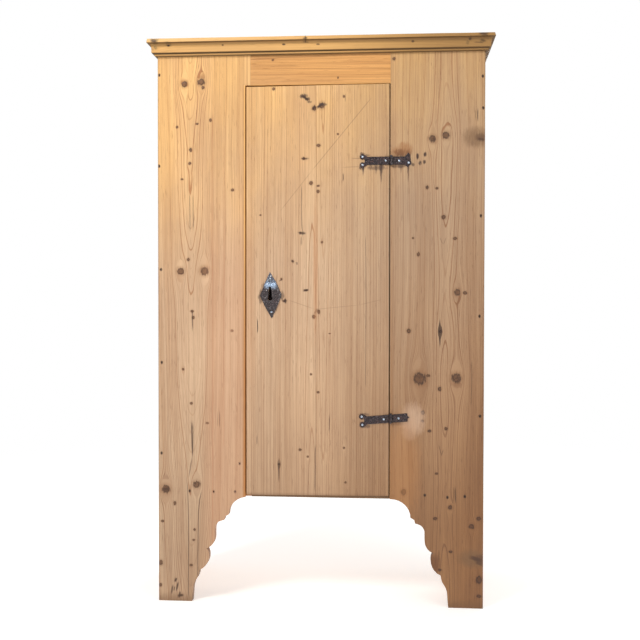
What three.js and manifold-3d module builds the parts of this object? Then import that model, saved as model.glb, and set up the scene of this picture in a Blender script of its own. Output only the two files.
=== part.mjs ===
// A single-door country armoire in nailed pine boards, with forged strap hinges and a rim lock.
// Millimetres. +Z is up, +X is to the right of someone facing the door, and the front faces -Y.
// The origin is on the floor, under the middle of the object's box.

import * as THREE from 'three';
import { mergeVertices } from 'three/addons/utils/BufferGeometryUtils.js';
import Module from 'manifold-3d';

const wasm = await Module();
wasm.setup();

// ---- Driving dimensions -------------------------------------------------------------------

// The case
const OVERALL_HEIGHT = 1830;
const CASE_WIDTH = 1054;
const CASE_DEPTH = 450;
const FRONT_THICKNESS = 28;      // stiles and top rail
const SIDE_THICKNESS = 20;
const BACK_THICKNESS = 16;
const TOP_THICKNESS = 18;
const BOTTOM_THICKNESS = 20;
const LEFT_STILE_WIDTH = 304;
const RIGHT_STILE_WIDTH = 299;
const RAIL_DROP = 150;           // top of the armoire to the underside of the rail
const FRONT_BOARD_DEPTH = 215;   // the wider, front board of each side, of the top and of the bottom
const BOARD_GAP = 1;             // shrinkage gap between neighbouring boards
const BACK_BOARD_COUNT = 5;

// The cornice
const CORNICE_PROJECTION = 30;
const CORNICE_FILLET_HEIGHT = 14;
const CORNICE_COVE_HEIGHT = 16;
const CORNICE_BAND_HEIGHT = 16;
const CORNICE_BAND_PROJECTION = 17;
const CORNICE_ROLL = 7;          // the rounding under the band
const CORNICE_BED_HEIGHT = 8;
const CORNICE_BED_PROJECTION = 10;
const CORNICE_QUIRK = 2;
const MITRE_GAP = 0.3;

// The feet, cut into the lower ends of the stiles
const ARCH_HEIGHT = 347;
const FOOT_WIDTH = 110;
const SCALLOP_REACH = 186;       // how far the scallops run in from the foot's inner edge
const BOTTOM_SHOW = 3;           // how far the bottom boards hang below the top of the arch

// The door
const DOOR_THICKNESS = 20;
const HINGE_SIDE_GAP = 3;
const LOCK_SIDE_GAP = 5;
const DOOR_TOP_GAP = 4;
const DOOR_BOTTOM_RISE = 13;     // underside of the bottom boards to the door, at the hinge side
const DOOR_SAG = 3;              // how much lower the door hangs at its lock side
const REBATE_WIDTH = 17;         // rebate in the left stile that the door shuts into
const REBATE_CLEARANCE = 0.5;
const LEFT_PLANK_WIDTH = 225;
const PLANK_JOINT = 0.4;
const LEDGE_HEIGHT = 90;
const LEDGE_PROUD = 18;
const LEDGE_INSET = 14;          // ledge end to the edge of the stile
const HOUSING_DEPTH = 6;
const DOVETAIL_SLOPE = 4;
const FIT_GAP = 0.3;             // play left round anything let into something else

// The hinges
const UPPER_HINGE_DROP = 243;    // top of the door to the middle of the upper hinge
const LOWER_HINGE_RISE = 250;    // bottom of the door to the middle of the lower hinge
const LOWER_HINGE_TILT = 4.5;    // degrees that the lower straps rise towards the right
const LEAF_THICKNESS = 2.5;
const LEAF_HEIGHT = 26;
const AXIS_INSET = 3;            // edge of the right stile to the axis of the hinges
const KNUCKLE_RADIUS = 5.5;
const KNUCKLE_LENGTH = 28;
const KNUCKLE_GAP = 0.4;
const PIN_RADIUS = 2.5;
const DOOR_LEAF_LENGTH = 92;     // axis to the middle of the round ends
const LOBE_RADIUS = 9;
const LOBE_SPREAD = 26;
const UPPER_FRAME_LEAF_LENGTH = 54;
const LOWER_FRAME_LEAF_LENGTH = 55;

// The dome-headed nails
const NAIL_HEAD_RADIUS = 4.8;
const NAIL_HEAD_HEIGHT = 3.4;
const NAIL_SHANK_RADIUS = 1.5;
const NAIL_BITE = 11;            // how far a nail goes into the wood

// The lock
const KEYHOLE_INSET = 76;        // lock-side edge of the door to the middle of the keyhole
const KEYHOLE_RISE = 636;        // bottom of the door to the middle of the lock's post
const KEYHOLE_RADIUS = 7.5;
const KEYHOLE_SLOT_RADIUS = 3.5;
const KEYHOLE_SLOT_RISE = 34;
const POST_RADIUS = 2.8;
const POST_SETBACK = 4;          // front of the door to the tip of the post
const ESCUTCHEON_HEIGHT = 152;
const ESCUTCHEON_WIDTH = 72;
const ESCUTCHEON_RIM = 1.6;
const ESCUTCHEON_CROWN = 6.5;
const ESCUTCHEON_RISE = 10;      // middle of the post to the middle of the escutcheon
const ESCUTCHEON_SHIFT = 2.5;    // how far the escutcheon sits to the right of the keyhole
const ESCUTCHEON_TILT = 2.3;     // degrees
const ESCUTCHEON_NAIL_INSET = 22;
const LOCK_WIDTH = 110;
const LOCK_ABOVE_POST = 64;
const LOCK_BELOW_POST = 35;
const LOCK_WALL = 1.5;
const LOCK_SETBACK = 6;          // edge of the left stile to the edge of the lock case
const BOLT_THICKNESS = 5.5;
const BOLT_HEIGHT = 20;
const BOLT_RISE = 46;            // middle of the post to the middle of the bolt
const BOLT_LENGTH = 78;
const SPRING_THICKNESS = 1;
const KEEPER_THICKNESS = 1.5;
const KEEPER_WIDTH = 26;
const KEEPER_HEIGHT = 60;

// The fittings inside
const CLEAT_WIDTH = 25;
const CLEAT_HEIGHT = 34;
const SHELF_DROP = 162;          // underside of the rail to the top of the shelf
const SHELF_THICKNESS = 18;
const SHELF_SETBACK = 40;        // back of the stiles to the front edge of the shelf
const PEG_RAIL_DROP = 50;        // underside of the shelf to the top of the peg rail
const PEG_RAIL_HEIGHT = 55;
const PEG_RAIL_THICKNESS = 18;
const PEG_RAIL_END_GAP = 6;
const PEG_COUNT = 4;
const PEG_LENGTH = 70;
const PEG_RADIUS = 7;

// ---- Planes and levels that follow from them ------------------------------------------------

const SIDE_X = CASE_WIDTH / 2;
const FRONT_Y = (CORNICE_PROJECTION - CASE_DEPTH) / 2;
const STILE_BACK_Y = FRONT_Y + FRONT_THICKNESS;
const BACK_Y = FRONT_Y + CASE_DEPTH;
const BACK_BOARD_Y = BACK_Y - BACK_THICKNESS;
const INSIDE_X = SIDE_X - SIDE_THICKNESS;
const CASE_TOP = OVERALL_HEIGHT - TOP_THICKNESS;
const RAIL_BOTTOM = OVERALL_HEIGHT - RAIL_DROP;
const BOTTOM_LEVEL = ARCH_HEIGHT - BOTTOM_SHOW;
const LEFT_EDGE = LEFT_STILE_WIDTH - SIDE_X;
const RIGHT_EDGE = SIDE_X - RIGHT_STILE_WIDTH;
const REBATE_EDGE = LEFT_EDGE - REBATE_WIDTH;
const REBATE_Y = FRONT_Y + DOOR_THICKNESS + REBATE_CLEARANCE;
const DOOR_LEFT = REBATE_EDGE + LOCK_SIDE_GAP;
const DOOR_RIGHT = RIGHT_EDGE - HINGE_SIDE_GAP;
const DOOR_WIDTH = DOOR_RIGHT - DOOR_LEFT;
const DOOR_TOP = RAIL_BOTTOM - DOOR_TOP_GAP;
const DOOR_BOTTOM = BOTTOM_LEVEL + DOOR_BOTTOM_RISE;
const DOOR_BACK_Y = FRONT_Y + DOOR_THICKNESS;
const AXIS_X = RIGHT_EDGE + AXIS_INSET;
const AXIS_Y = FRONT_Y - KNUCKLE_RADIUS - FIT_GAP;
const UPPER_HINGE_Z = DOOR_TOP - UPPER_HINGE_DROP;
const LOWER_HINGE_Z = DOOR_BOTTOM + LOWER_HINGE_RISE;
const POST_X = DOOR_LEFT + KEYHOLE_INSET;
const POST_Z = DOOR_BOTTOM + KEYHOLE_RISE;
const ESCUTCHEON_X = POST_X + ESCUTCHEON_SHIFT;
const ESCUTCHEON_Z = POST_Z + ESCUTCHEON_RISE;
const LEAF_Y = FRONT_Y - LEAF_THICKNESS;
const SHELF_TOP = RAIL_BOTTOM - SHELF_DROP;
const SHELF_UNDERSIDE = SHELF_TOP - SHELF_THICKNESS;
const PEG_RAIL_TOP = SHELF_UNDERSIDE - PEG_RAIL_DROP;
const PEG_RAIL_Y = BACK_BOARD_Y - PEG_RAIL_THICKNESS;

// ---- Finishes -------------------------------------------------------------------------------

const FINISHES = {
  stile: { color: 0xc79a6b, roughness: 0.55, metalness: 0 },
  rail: { color: 0xcf9256, roughness: 0.55, metalness: 0 },
  door: { color: 0xcda277, roughness: 0.55, metalness: 0 },
  cornice: { color: 0xbd8a55, roughness: 0.55, metalness: 0 },
  inside: { color: 0xb98f62, roughness: 0.7, metalness: 0 },
  iron: { color: 0x3a322e, roughness: 0.45, metalness: 0.8 },
  nail: { color: 0x4a4442, roughness: 0.3, metalness: 0.9 },
};

// ---- Shared ways of making a shape ----------------------------------------------------------

function toSolid(geometry) {
  const bare = geometry.clone();
  bare.deleteAttribute('normal');
  bare.deleteAttribute('uv');
  const merged = mergeVertices(bare, 1e-4);
  return new wasm.Manifold(new wasm.Mesh({
    numProp: 3,
    vertProperties: new Float32Array(merged.attributes.position.array),
    triVerts: new Uint32Array(merged.index.array),
  }));
}

function toGeometry(solid) {
  const mesh = solid.getMesh();
  const geometry = new THREE.BufferGeometry();
  geometry.setAttribute('position', new THREE.BufferAttribute(new Float32Array(mesh.vertProperties), 3));
  geometry.setIndex(new THREE.BufferAttribute(new Uint32Array(mesh.triVerts), 1));
  geometry.computeVertexNormals();
  return geometry;
}

function addMesh(group, name, geometry, finish) {
  const mesh = new THREE.Mesh(geometry, new THREE.MeshStandardMaterial(FINISHES[finish]));
  mesh.name = name;
  group.add(mesh);
  return mesh;
}

// A plain board between pairs of limits along x, y and z.
function addBoard(group, name, x, y, z, finish) {
  const geometry = new THREE.BoxGeometry(x[1] - x[0], y[1] - y[0], z[1] - z[0]);
  const mesh = addMesh(group, name, geometry, finish);
  mesh.position.set((x[0] + x[1]) / 2, (y[0] + y[1]) / 2, (z[0] + z[1]) / 2);
}

function blockSolid(x, y, z) {
  const geometry = new THREE.BoxGeometry(x[1] - x[0], y[1] - y[0], z[1] - z[0]);
  geometry.translate((x[0] + x[1]) / 2, (y[0] + y[1]) / 2, (z[0] + z[1]) / 2);
  return toSolid(geometry);
}

// An outline drawn in x and z, given thickness between two y planes.
function plateSolid(outline, yFront, yBack, curveSegments = 8) {
  const geometry = new THREE.ExtrudeGeometry(outline, {
    depth: yBack - yFront,
    bevelEnabled: false,
    curveSegments,
  });
  geometry.applyMatrix4(new THREE.Matrix4().makeBasis(
    new THREE.Vector3(1, 0, 0),
    new THREE.Vector3(0, 0, 1),
    new THREE.Vector3(0, -1, 0),
  ));
  geometry.translate(0, yBack, 0);
  return toSolid(geometry);
}

// An outline drawn in y and z, run along x.
function runGeometry(outline, xStart, xEnd, curveSegments = 8) {
  const geometry = new THREE.ExtrudeGeometry(outline, {
    depth: xEnd - xStart,
    bevelEnabled: false,
    curveSegments,
  });
  geometry.applyMatrix4(new THREE.Matrix4().makeBasis(
    new THREE.Vector3(0, 1, 0),
    new THREE.Vector3(0, 0, 1),
    new THREE.Vector3(1, 0, 0),
  ));
  geometry.translate(xStart, 0, 0);
  return geometry;
}

// A round rod along y, as for nail holes and pegs.
function rodAlongY(radius, x, z, yStart, yEnd, sides = 16) {
  const geometry = new THREE.CylinderGeometry(radius, radius, yEnd - yStart, sides);
  geometry.translate(x, (yStart + yEnd) / 2, z);
  return toSolid(geometry);
}

// A round rod standing upright.
function rodUpright(radius, x, y, zStart, zEnd, sides = 24) {
  const geometry = new THREE.CylinderGeometry(radius, radius, zEnd - zStart, sides);
  geometry.applyMatrix4(new THREE.Matrix4().makeBasis(
    new THREE.Vector3(1, 0, 0),
    new THREE.Vector3(0, 0, 1),
    new THREE.Vector3(0, -1, 0),
  ));
  geometry.translate(x, y, (zStart + zEnd) / 2);
  return toSolid(geometry);
}

function polygon(points) {
  return new THREE.Shape(points.map(([x, y]) => new THREE.Vector2(x, y)));
}

function joinAll(solids) {
  return solids.reduce((whole, solid) => whole.add(solid));
}

function cutAll(solid, cutters) {
  return cutters.reduce((rest, cutter) => rest.subtract(cutter), solid);
}

// ---- Nails ----------------------------------------------------------------------------------

// A place on a hinge, from the axis and the hinge's middle, turned by the tilt of its straps.
function turnAbout(x, z, degrees) {
  const angle = THREE.MathUtils.degToRad(degrees);
  return [
    AXIS_X + x * Math.cos(angle) - z * Math.sin(angle),
    x * Math.sin(angle) + z * Math.cos(angle),
  ];
}

// Where each dome nail goes: its place in x and z, and the plane that its head seats on.
function hingeNails(hingeZ, tilt, doorNailX, frameNails) {
  const doorNails = [
    [-DOOR_LEAF_LENGTH, LOBE_SPREAD / 2],
    [-DOOR_LEAF_LENGTH, -LOBE_SPREAD / 2],
    [doorNailX, 0],
  ];
  const placed = ([x, z]) => {
    const [turnedX, turnedZ] = turnAbout(x, z, tilt);
    return { x: turnedX, z: hingeZ + turnedZ, seat: LEAF_Y };
  };
  return { door: doorNails.map(placed), frame: frameNails.map(placed) };
}

// each nail is [x, z] from the axis and the middle of its hinge
const upperNails = hingeNails(UPPER_HINGE_Z, 0, -18, [
  [25, -1],
  [UPPER_FRAME_LEAF_LENGTH + 1, 2 - LOBE_RADIUS],
]);
const lowerNails = hingeNails(LOWER_HINGE_Z, LOWER_HINGE_TILT, -22, [[25, 0]]);
const escutcheonNails = [1, -1].map((end) => ({
  x: ESCUTCHEON_X - end * (ESCUTCHEON_HEIGHT / 2 - ESCUTCHEON_NAIL_INSET)
    * Math.sin(THREE.MathUtils.degToRad(ESCUTCHEON_TILT)),
  z: ESCUTCHEON_Z + end * (ESCUTCHEON_HEIGHT / 2 - ESCUTCHEON_NAIL_INSET),
  seat: LEAF_Y,
}));
const doorNails = [...upperNails.door, ...lowerNails.door, ...escutcheonNails];
const frameNails = [...upperNails.frame, ...lowerNails.frame];

function nailGeometry() {
  const domeSteps = 5;
  const profile = [];
  for (let step = 0; step <= domeSteps; step += 1) {
    const angle = (step / domeSteps) * Math.PI / 2;
    profile.push(new THREE.Vector2(
      NAIL_HEAD_RADIUS * Math.sin(angle),
      -NAIL_HEAD_HEIGHT * Math.cos(angle),
    ));
  }
  const shankEnd = LEAF_THICKNESS + NAIL_BITE;
  profile.push(new THREE.Vector2(NAIL_SHANK_RADIUS, 0));
  profile.push(new THREE.Vector2(NAIL_SHANK_RADIUS, shankEnd - NAIL_SHANK_RADIUS));
  profile.push(new THREE.Vector2(0, shankEnd));
  profile[0].x = 0;
  return new THREE.LatheGeometry(profile, 16);
}

function addNail(group, name, nail) {
  const solid = toSolid(nailGeometry());
  addMesh(group, name, toGeometry(solid), 'nail').position.set(nail.x, nail.seat, nail.z);
}

function nailHoles(nails) {
  return nails.map((nail) => rodAlongY(
    NAIL_SHANK_RADIUS + FIT_GAP,
    nail.x,
    nail.z,
    FRONT_Y - ESCUTCHEON_CROWN,
    FRONT_Y + NAIL_BITE + FIT_GAP,
  ));
}

// ---- Stiles with scalloped feet, and the rail between them ----------------------------------

// The scallops are laid out from the foot's inner edge and the floor, for an arch of this size.
const TEMPLATE_REACH = 186;
const TEMPLATE_HEIGHT = 347;

// side is -1 for the left stile and 1 for the right.
function stileOutline(side, width) {
  const across = (distance) => side * (SIDE_X - FOOT_WIDTH - distance * SCALLOP_REACH / TEMPLATE_REACH);
  const up = (height) => height * ARCH_HEIGHT / TEMPLATE_HEIGHT;
  const innerX = side * (SIDE_X - width);
  const outline = new THREE.Shape();
  outline.moveTo(side * SIDE_X, 0);
  outline.lineTo(side * SIDE_X, CASE_TOP);
  outline.lineTo(innerX, CASE_TOP);
  outline.lineTo(innerX, ARCH_HEIGHT);
  outline.lineTo(across(186), ARCH_HEIGHT);
  // the large cove under the door's corner
  outline.bezierCurveTo(across(151), up(347), across(122), up(321), across(122), up(288));
  // a small quirk
  outline.lineTo(across(110), up(281));
  outline.lineTo(across(107), up(270));
  outline.lineTo(across(95), up(266));
  // a second cove, running into an ovolo that ends in a cusp
  outline.bezierCurveTo(across(84), up(263), across(77), up(252), across(76), up(238));
  outline.lineTo(across(76), up(214));
  outline.bezierCurveTo(across(76), up(195), across(65), up(180), across(48), up(175));
  // a round bulge, ending in a second cusp
  outline.bezierCurveTo(across(63), up(165), across(61), up(117), across(24), up(103));
  // a small ovolo, running out into the foot
  outline.bezierCurveTo(across(24), up(92), across(21), up(82), across(15), up(74));
  outline.bezierCurveTo(across(8), up(65), across(4), up(52), across(3), up(40));
  outline.lineTo(across(0), 0);
  outline.closePath();
  return outline;
}

const TENON_LENGTH = 40;
const TENON_THICKNESS = 9;
const TENON_SHOULDER = 14;

function tenonSolid(play) {
  const middleY = FRONT_Y + FRONT_THICKNESS / 2;
  return blockSolid(
    [LEFT_EDGE - TENON_LENGTH - play, RIGHT_EDGE + TENON_LENGTH + play],
    [middleY - TENON_THICKNESS / 2 - play, middleY + TENON_THICKNESS / 2 + play],
    [RAIL_BOTTOM + TENON_SHOULDER - play, CASE_TOP - TENON_SHOULDER + play],
  );
}

function addFront(group) {
  const mortises = tenonSolid(FIT_GAP);
  const rebate = blockSolid(
    [REBATE_EDGE, LEFT_EDGE + 1],
    [FRONT_Y - 1, REBATE_Y],
    [BOTTOM_LEVEL - 1, RAIL_BOTTOM],
  );
  const left = cutAll(
    plateSolid(stileOutline(-1, LEFT_STILE_WIDTH), FRONT_Y, STILE_BACK_Y),
    [rebate, mortises],
  );
  const right = cutAll(
    plateSolid(stileOutline(1, RIGHT_STILE_WIDTH), FRONT_Y, STILE_BACK_Y),
    [mortises, ...nailHoles(frameNails)],
  );
  const rail = blockSolid([LEFT_EDGE, RIGHT_EDGE], [FRONT_Y, STILE_BACK_Y], [RAIL_BOTTOM, CASE_TOP]);
  addMesh(group, 'left_stile', toGeometry(left), 'stile');
  addMesh(group, 'right_stile', toGeometry(right), 'stile');
  addMesh(group, 'top_rail', toGeometry(rail.add(tenonSolid(0))), 'rail');
}

// ---- Sides, top, bottom and back ------------------------------------------------------------

// A front board and a rear board, side by side over a depth.
function depthSplit(yStart, yEnd) {
  const joint = FRONT_Y + FRONT_BOARD_DEPTH;
  return { front: [yStart, joint - BOARD_GAP / 2], rear: [joint + BOARD_GAP / 2, yEnd] };
}

function addCase(group) {
  const sideDepths = depthSplit(STILE_BACK_Y, BACK_BOARD_Y);
  const sides = { left: [-SIDE_X, -INSIDE_X], right: [INSIDE_X, SIDE_X] };
  for (const [side, x] of Object.entries(sides)) {
    addBoard(group, `${side}_side_front_board`, x, sideDepths.front, [0, CASE_TOP], 'stile');
    addBoard(group, `${side}_side_rear_board`, x, sideDepths.rear, [0, CASE_TOP], 'stile');
  }

  const topDepths = depthSplit(FRONT_Y, BACK_Y);
  const topZ = [CASE_TOP, OVERALL_HEIGHT];
  addBoard(group, 'top_front_board', [-SIDE_X, SIDE_X], topDepths.front, topZ, 'inside');
  addBoard(group, 'top_rear_board', [-SIDE_X, SIDE_X], topDepths.rear, topZ, 'inside');

  const bottomDepths = depthSplit(STILE_BACK_Y, BACK_BOARD_Y);
  const bottomZ = [BOTTOM_LEVEL, BOTTOM_LEVEL + BOTTOM_THICKNESS];
  const floorBoard = blockSolid([-INSIDE_X, INSIDE_X], bottomDepths.front, bottomZ);
  const doorStop = blockSolid(
    [LEFT_EDGE + FIT_GAP, RIGHT_EDGE - FIT_GAP],
    [REBATE_Y, STILE_BACK_Y + 1],
    bottomZ,
  );
  addMesh(group, 'bottom_front_board', toGeometry(floorBoard.add(doorStop)), 'inside');
  addBoard(group, 'bottom_rear_board', [-INSIDE_X, INSIDE_X], bottomDepths.rear, bottomZ, 'inside');

  const backWidth = (CASE_WIDTH - (BACK_BOARD_COUNT - 1) * BOARD_GAP) / BACK_BOARD_COUNT;
  const backDepth = [BACK_BOARD_Y, BACK_Y];
  const backZ = [BOTTOM_LEVEL, CASE_TOP];
  for (let index = 0; index < BACK_BOARD_COUNT; index += 1) {
    const left = -SIDE_X + index * (backWidth + BOARD_GAP);
    addBoard(group, `back_board_${index + 1}`, [left, left + backWidth], backDepth, backZ, 'inside');
  }
}

// ---- Cornice --------------------------------------------------------------------------------

// One length of the moulding: its back lies along y = 0, and each mitred end runs out with the projection.
function corniceGeometry(length, mitredStart, mitredEnd) {
  const underFillet = OVERALL_HEIGHT - CORNICE_FILLET_HEIGHT;
  const coveFoot = underFillet - CORNICE_COVE_HEIGHT;
  const bandFoot = coveFoot - CORNICE_BAND_HEIGHT;
  const bottom = bandFoot - CORNICE_BED_HEIGHT;
  const bed = CORNICE_BED_PROJECTION;
  const band = CORNICE_BAND_PROJECTION;
  const outline = new THREE.Shape();
  outline.moveTo(0, OVERALL_HEIGHT);
  outline.lineTo(0, bottom);
  outline.lineTo(-bed / 3, bottom);
  outline.quadraticCurveTo(-bed, bottom, -bed, bandFoot);
  outline.lineTo(CORNICE_ROLL - band - CORNICE_QUIRK, bandFoot);
  outline.quadraticCurveTo(-band, bandFoot, -band, bandFoot + CORNICE_ROLL);
  outline.lineTo(-band, coveFoot);
  outline.quadraticCurveTo(-band, underFillet, CORNICE_QUIRK - CORNICE_PROJECTION, underFillet);
  outline.lineTo(-CORNICE_PROJECTION, underFillet);
  outline.lineTo(-CORNICE_PROJECTION, OVERALL_HEIGHT);
  outline.closePath();
  const geometry = runGeometry(outline, 0, length, 6);
  const place = geometry.attributes.position;
  for (let index = 0; index < place.count; index += 1) {
    const projection = -place.getY(index);
    const atEnd = place.getX(index) > length / 2;
    if (atEnd && mitredEnd) {
      place.setX(index, length + projection - MITRE_GAP / 2);
    }
    if (!atEnd && mitredStart) {
      place.setX(index, MITRE_GAP / 2 - projection);
    }
  }
  return geometry;
}

function addCornice(group) {
  const front = corniceGeometry(CASE_WIDTH, true, true);
  front.translate(-SIDE_X, FRONT_Y, 0);
  addMesh(group, 'cornice_front', toGeometry(toSolid(front)), 'cornice');

  const left = corniceGeometry(CASE_DEPTH, false, true);
  left.applyMatrix4(new THREE.Matrix4().makeBasis(
    new THREE.Vector3(0, -1, 0),
    new THREE.Vector3(1, 0, 0),
    new THREE.Vector3(0, 0, 1),
  ));
  left.translate(-SIDE_X, BACK_Y, 0);
  addMesh(group, 'cornice_left_return', toGeometry(toSolid(left)), 'cornice');

  const right = corniceGeometry(CASE_DEPTH, true, false);
  right.applyMatrix4(new THREE.Matrix4().makeBasis(
    new THREE.Vector3(0, 1, 0),
    new THREE.Vector3(-1, 0, 0),
    new THREE.Vector3(0, 0, 1),
  ));
  right.translate(SIDE_X, FRONT_Y, 0);
  addMesh(group, 'cornice_right_return', toGeometry(toSolid(right)), 'cornice');
}

// ---- Shelf, cleats and pegs -----------------------------------------------------------------

function pegGeometry() {
  const collar = PEG_RADIUS + 4;
  const knob = PEG_RADIUS + 6;
  const profile = [
    [0, -PEG_LENGTH],
    [knob * 0.6, -PEG_LENGTH + 1],
    [knob, -PEG_LENGTH + 6],
    [knob * 0.8, -PEG_LENGTH + 12],
    [PEG_RADIUS - 1, -PEG_LENGTH + 17],
    [PEG_RADIUS + 1, -12],
    [collar, -6],
    [collar, -FIT_GAP],
    [PEG_RADIUS, -FIT_GAP],
    [PEG_RADIUS, PEG_RAIL_THICKNESS - 1],
    [0, PEG_RAIL_THICKNESS - 1],
  ];
  return new THREE.LatheGeometry(profile.map(([r, y]) => new THREE.Vector2(r, y)), 20);
}

function addInside(group) {
  const innerDepth = [STILE_BACK_Y, BACK_BOARD_Y];
  const shelfDepth = [STILE_BACK_Y + SHELF_SETBACK, BACK_BOARD_Y];
  const underBottom = [BOTTOM_LEVEL - CLEAT_HEIGHT, BOTTOM_LEVEL];
  const underShelf = [SHELF_UNDERSIDE - CLEAT_HEIGHT, SHELF_UNDERSIDE];
  const cleats = {
    left: [-INSIDE_X, CLEAT_WIDTH - INSIDE_X],
    right: [INSIDE_X - CLEAT_WIDTH, INSIDE_X],
  };
  for (const [side, x] of Object.entries(cleats)) {
    addBoard(group, `${side}_bottom_cleat`, x, innerDepth, underBottom, 'inside');
    addBoard(group, `${side}_shelf_cleat`, x, shelfDepth, underShelf, 'inside');
  }
  addBoard(group, 'upper_shelf', [-INSIDE_X, INSIDE_X], shelfDepth, [SHELF_UNDERSIDE, SHELF_TOP], 'inside');

  const railEnd = INSIDE_X - PEG_RAIL_END_GAP;
  const pegZ = PEG_RAIL_TOP - PEG_RAIL_HEIGHT / 2;
  const pegPitch = 2 * railEnd / PEG_COUNT;
  const pegPlaces = [];
  for (let index = 0; index < PEG_COUNT; index += 1) {
    pegPlaces.push(-railEnd + (index + 0.5) * pegPitch);
  }
  const holeRadius = PEG_RADIUS + FIT_GAP;
  const holes = pegPlaces.map((x) => rodAlongY(holeRadius, x, pegZ, PEG_RAIL_Y - 1, BACK_BOARD_Y + 1, 20));
  const rail = blockSolid(
    [-railEnd, railEnd],
    [PEG_RAIL_Y, BACK_BOARD_Y],
    [PEG_RAIL_TOP - PEG_RAIL_HEIGHT, PEG_RAIL_TOP],
  );
  addMesh(group, 'peg_rail', toGeometry(cutAll(rail, holes)), 'inside');
  pegPlaces.forEach((x, index) => {
    const peg = addMesh(group, `coat_peg_${index + 1}`, toGeometry(toSolid(pegGeometry())), 'inside');
    peg.position.set(x, PEG_RAIL_Y, pegZ);
  });
}

// ---- Door -----------------------------------------------------------------------------------

// The door hangs lower towards its lock side.
function sagAt(x) {
  return DOOR_SAG * (DOOR_RIGHT - x) / DOOR_WIDTH;
}

function plankSolid(left, right) {
  const outline = polygon([
    [left, DOOR_BOTTOM - sagAt(left)],
    [right, DOOR_BOTTOM - sagAt(right)],
    [right, DOOR_TOP - sagAt(right)],
    [left, DOOR_TOP - sagAt(left)],
  ]);
  return plateSolid(outline, FRONT_Y, DOOR_BACK_Y);
}

// A ledge is dovetailed into the back of the planks. play widens it into its housing.
function ledgeGeometry(middleZ, left, right, play) {
  const half = LEDGE_HEIGHT / 2 + play;
  const seat = DOOR_BACK_Y - HOUSING_DEPTH - play;
  const back = DOOR_BACK_Y + LEDGE_PROUD;
  const chamfer = 6;
  const outline = polygon([
    [seat, middleZ - half - DOVETAIL_SLOPE],
    [DOOR_BACK_Y, middleZ - half],
    [back - chamfer, middleZ - half],
    [back, middleZ - half + chamfer],
    [back, middleZ + half - chamfer],
    [back - chamfer, middleZ + half],
    [DOOR_BACK_Y, middleZ + half],
    [seat, middleZ + half + DOVETAIL_SLOPE],
  ]);
  return runGeometry(outline, left, right);
}

// The keyhole: round below, where the post stands, and narrow above.
function keyholeOutline() {
  const flank = THREE.MathUtils.degToRad(35);
  const outline = new THREE.Shape();
  outline.absarc(POST_X, POST_Z, KEYHOLE_RADIUS, Math.PI - flank, 2 * Math.PI + flank, false);
  outline.absarc(POST_X, POST_Z + KEYHOLE_SLOT_RISE, KEYHOLE_SLOT_RADIUS, 0, Math.PI, false);
  outline.closePath();
  return outline;
}

function addDoor(group) {
  const joint = DOOR_LEFT + LEFT_PLANK_WIDTH;
  const ledgeLeft = LEFT_EDGE + LEDGE_INSET;
  const ledgeRight = RIGHT_EDGE - LEDGE_INSET;
  const levels = { upper: UPPER_HINGE_Z, lower: LOWER_HINGE_Z };
  // each housing is open at the lock-side edge, where its ledge was driven in
  const housings = Object.values(levels).map((z) => toSolid(
    ledgeGeometry(z, DOOR_LEFT - 1, ledgeRight + FIT_GAP, FIT_GAP),
  ));
  const keyhole = plateSolid(keyholeOutline(), FRONT_Y - 1, DOOR_BACK_Y + 1, 6);
  const cutters = [...housings, ...nailHoles(doorNails), keyhole];
  const leftPlank = cutAll(plankSolid(DOOR_LEFT, joint - PLANK_JOINT / 2), cutters);
  const rightPlank = cutAll(plankSolid(joint + PLANK_JOINT / 2, DOOR_RIGHT), cutters);
  addMesh(group, 'door_left_plank', toGeometry(leftPlank), 'door');
  addMesh(group, 'door_right_plank', toGeometry(rightPlank), 'door');
  for (const [level, z] of Object.entries(levels)) {
    const ledge = toSolid(ledgeGeometry(z, ledgeLeft, ledgeRight, 0));
    addMesh(group, `door_${level}_ledge`, toGeometry(ledge), 'inside');
  }
}

// ---- Hinges ---------------------------------------------------------------------------------

// Everything on a hinge is laid out from the axis, then turned by the tilt of its straps.
function strapPlate(points, hingeZ, tilt) {
  const outline = polygon(points.map(([x, z]) => {
    const [turnedX, turnedZ] = turnAbout(x, z, tilt);
    return [turnedX, hingeZ + turnedZ];
  }));
  return plateSolid(outline, LEAF_Y, FRONT_Y);
}

function strapLobe(x, z, radius, hingeZ, tilt) {
  const [turnedX, turnedZ] = turnAbout(x, z, tilt);
  return rodAlongY(radius, turnedX, hingeZ + turnedZ, LEAF_Y, FRONT_Y, 24);
}

function knuckleSolid(hingeZ, zStart, zEnd) {
  return rodUpright(KNUCKLE_RADIUS, AXIS_X, AXIS_Y, hingeZ + zStart, hingeZ + zEnd);
}

// The pin's way through a leaf, and the room that the other leaf's knuckles need.
function pinBore(hingeZ) {
  return rodUpright(PIN_RADIUS + FIT_GAP, AXIS_X, AXIS_Y, hingeZ - KNUCKLE_LENGTH, hingeZ + KNUCKLE_LENGTH);
}

function knuckleRoom(hingeZ, zStart, zEnd) {
  const radius = KNUCKLE_RADIUS + KNUCKLE_GAP;
  return blockSolid(
    [AXIS_X - radius, AXIS_X + radius],
    [AXIS_Y - radius, FRONT_Y + 1],
    [hingeZ + zStart - KNUCKLE_GAP, hingeZ + zEnd + KNUCKLE_GAP],
  );
}

const KNUCKLE_HALF = KNUCKLE_LENGTH / 2;
const DOOR_KNUCKLE_HALF = (KNUCKLE_LENGTH / 3 - KNUCKLE_GAP) / 2;
const FRAME_KNUCKLE_START = DOOR_KNUCKLE_HALF + KNUCKLE_GAP;
const LEAF_ROOT = 1.5;           // how near to the axis the straps start
const ROOT_REACH = 7;            // how far the square roots under the knuckles run out from the axis

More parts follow.
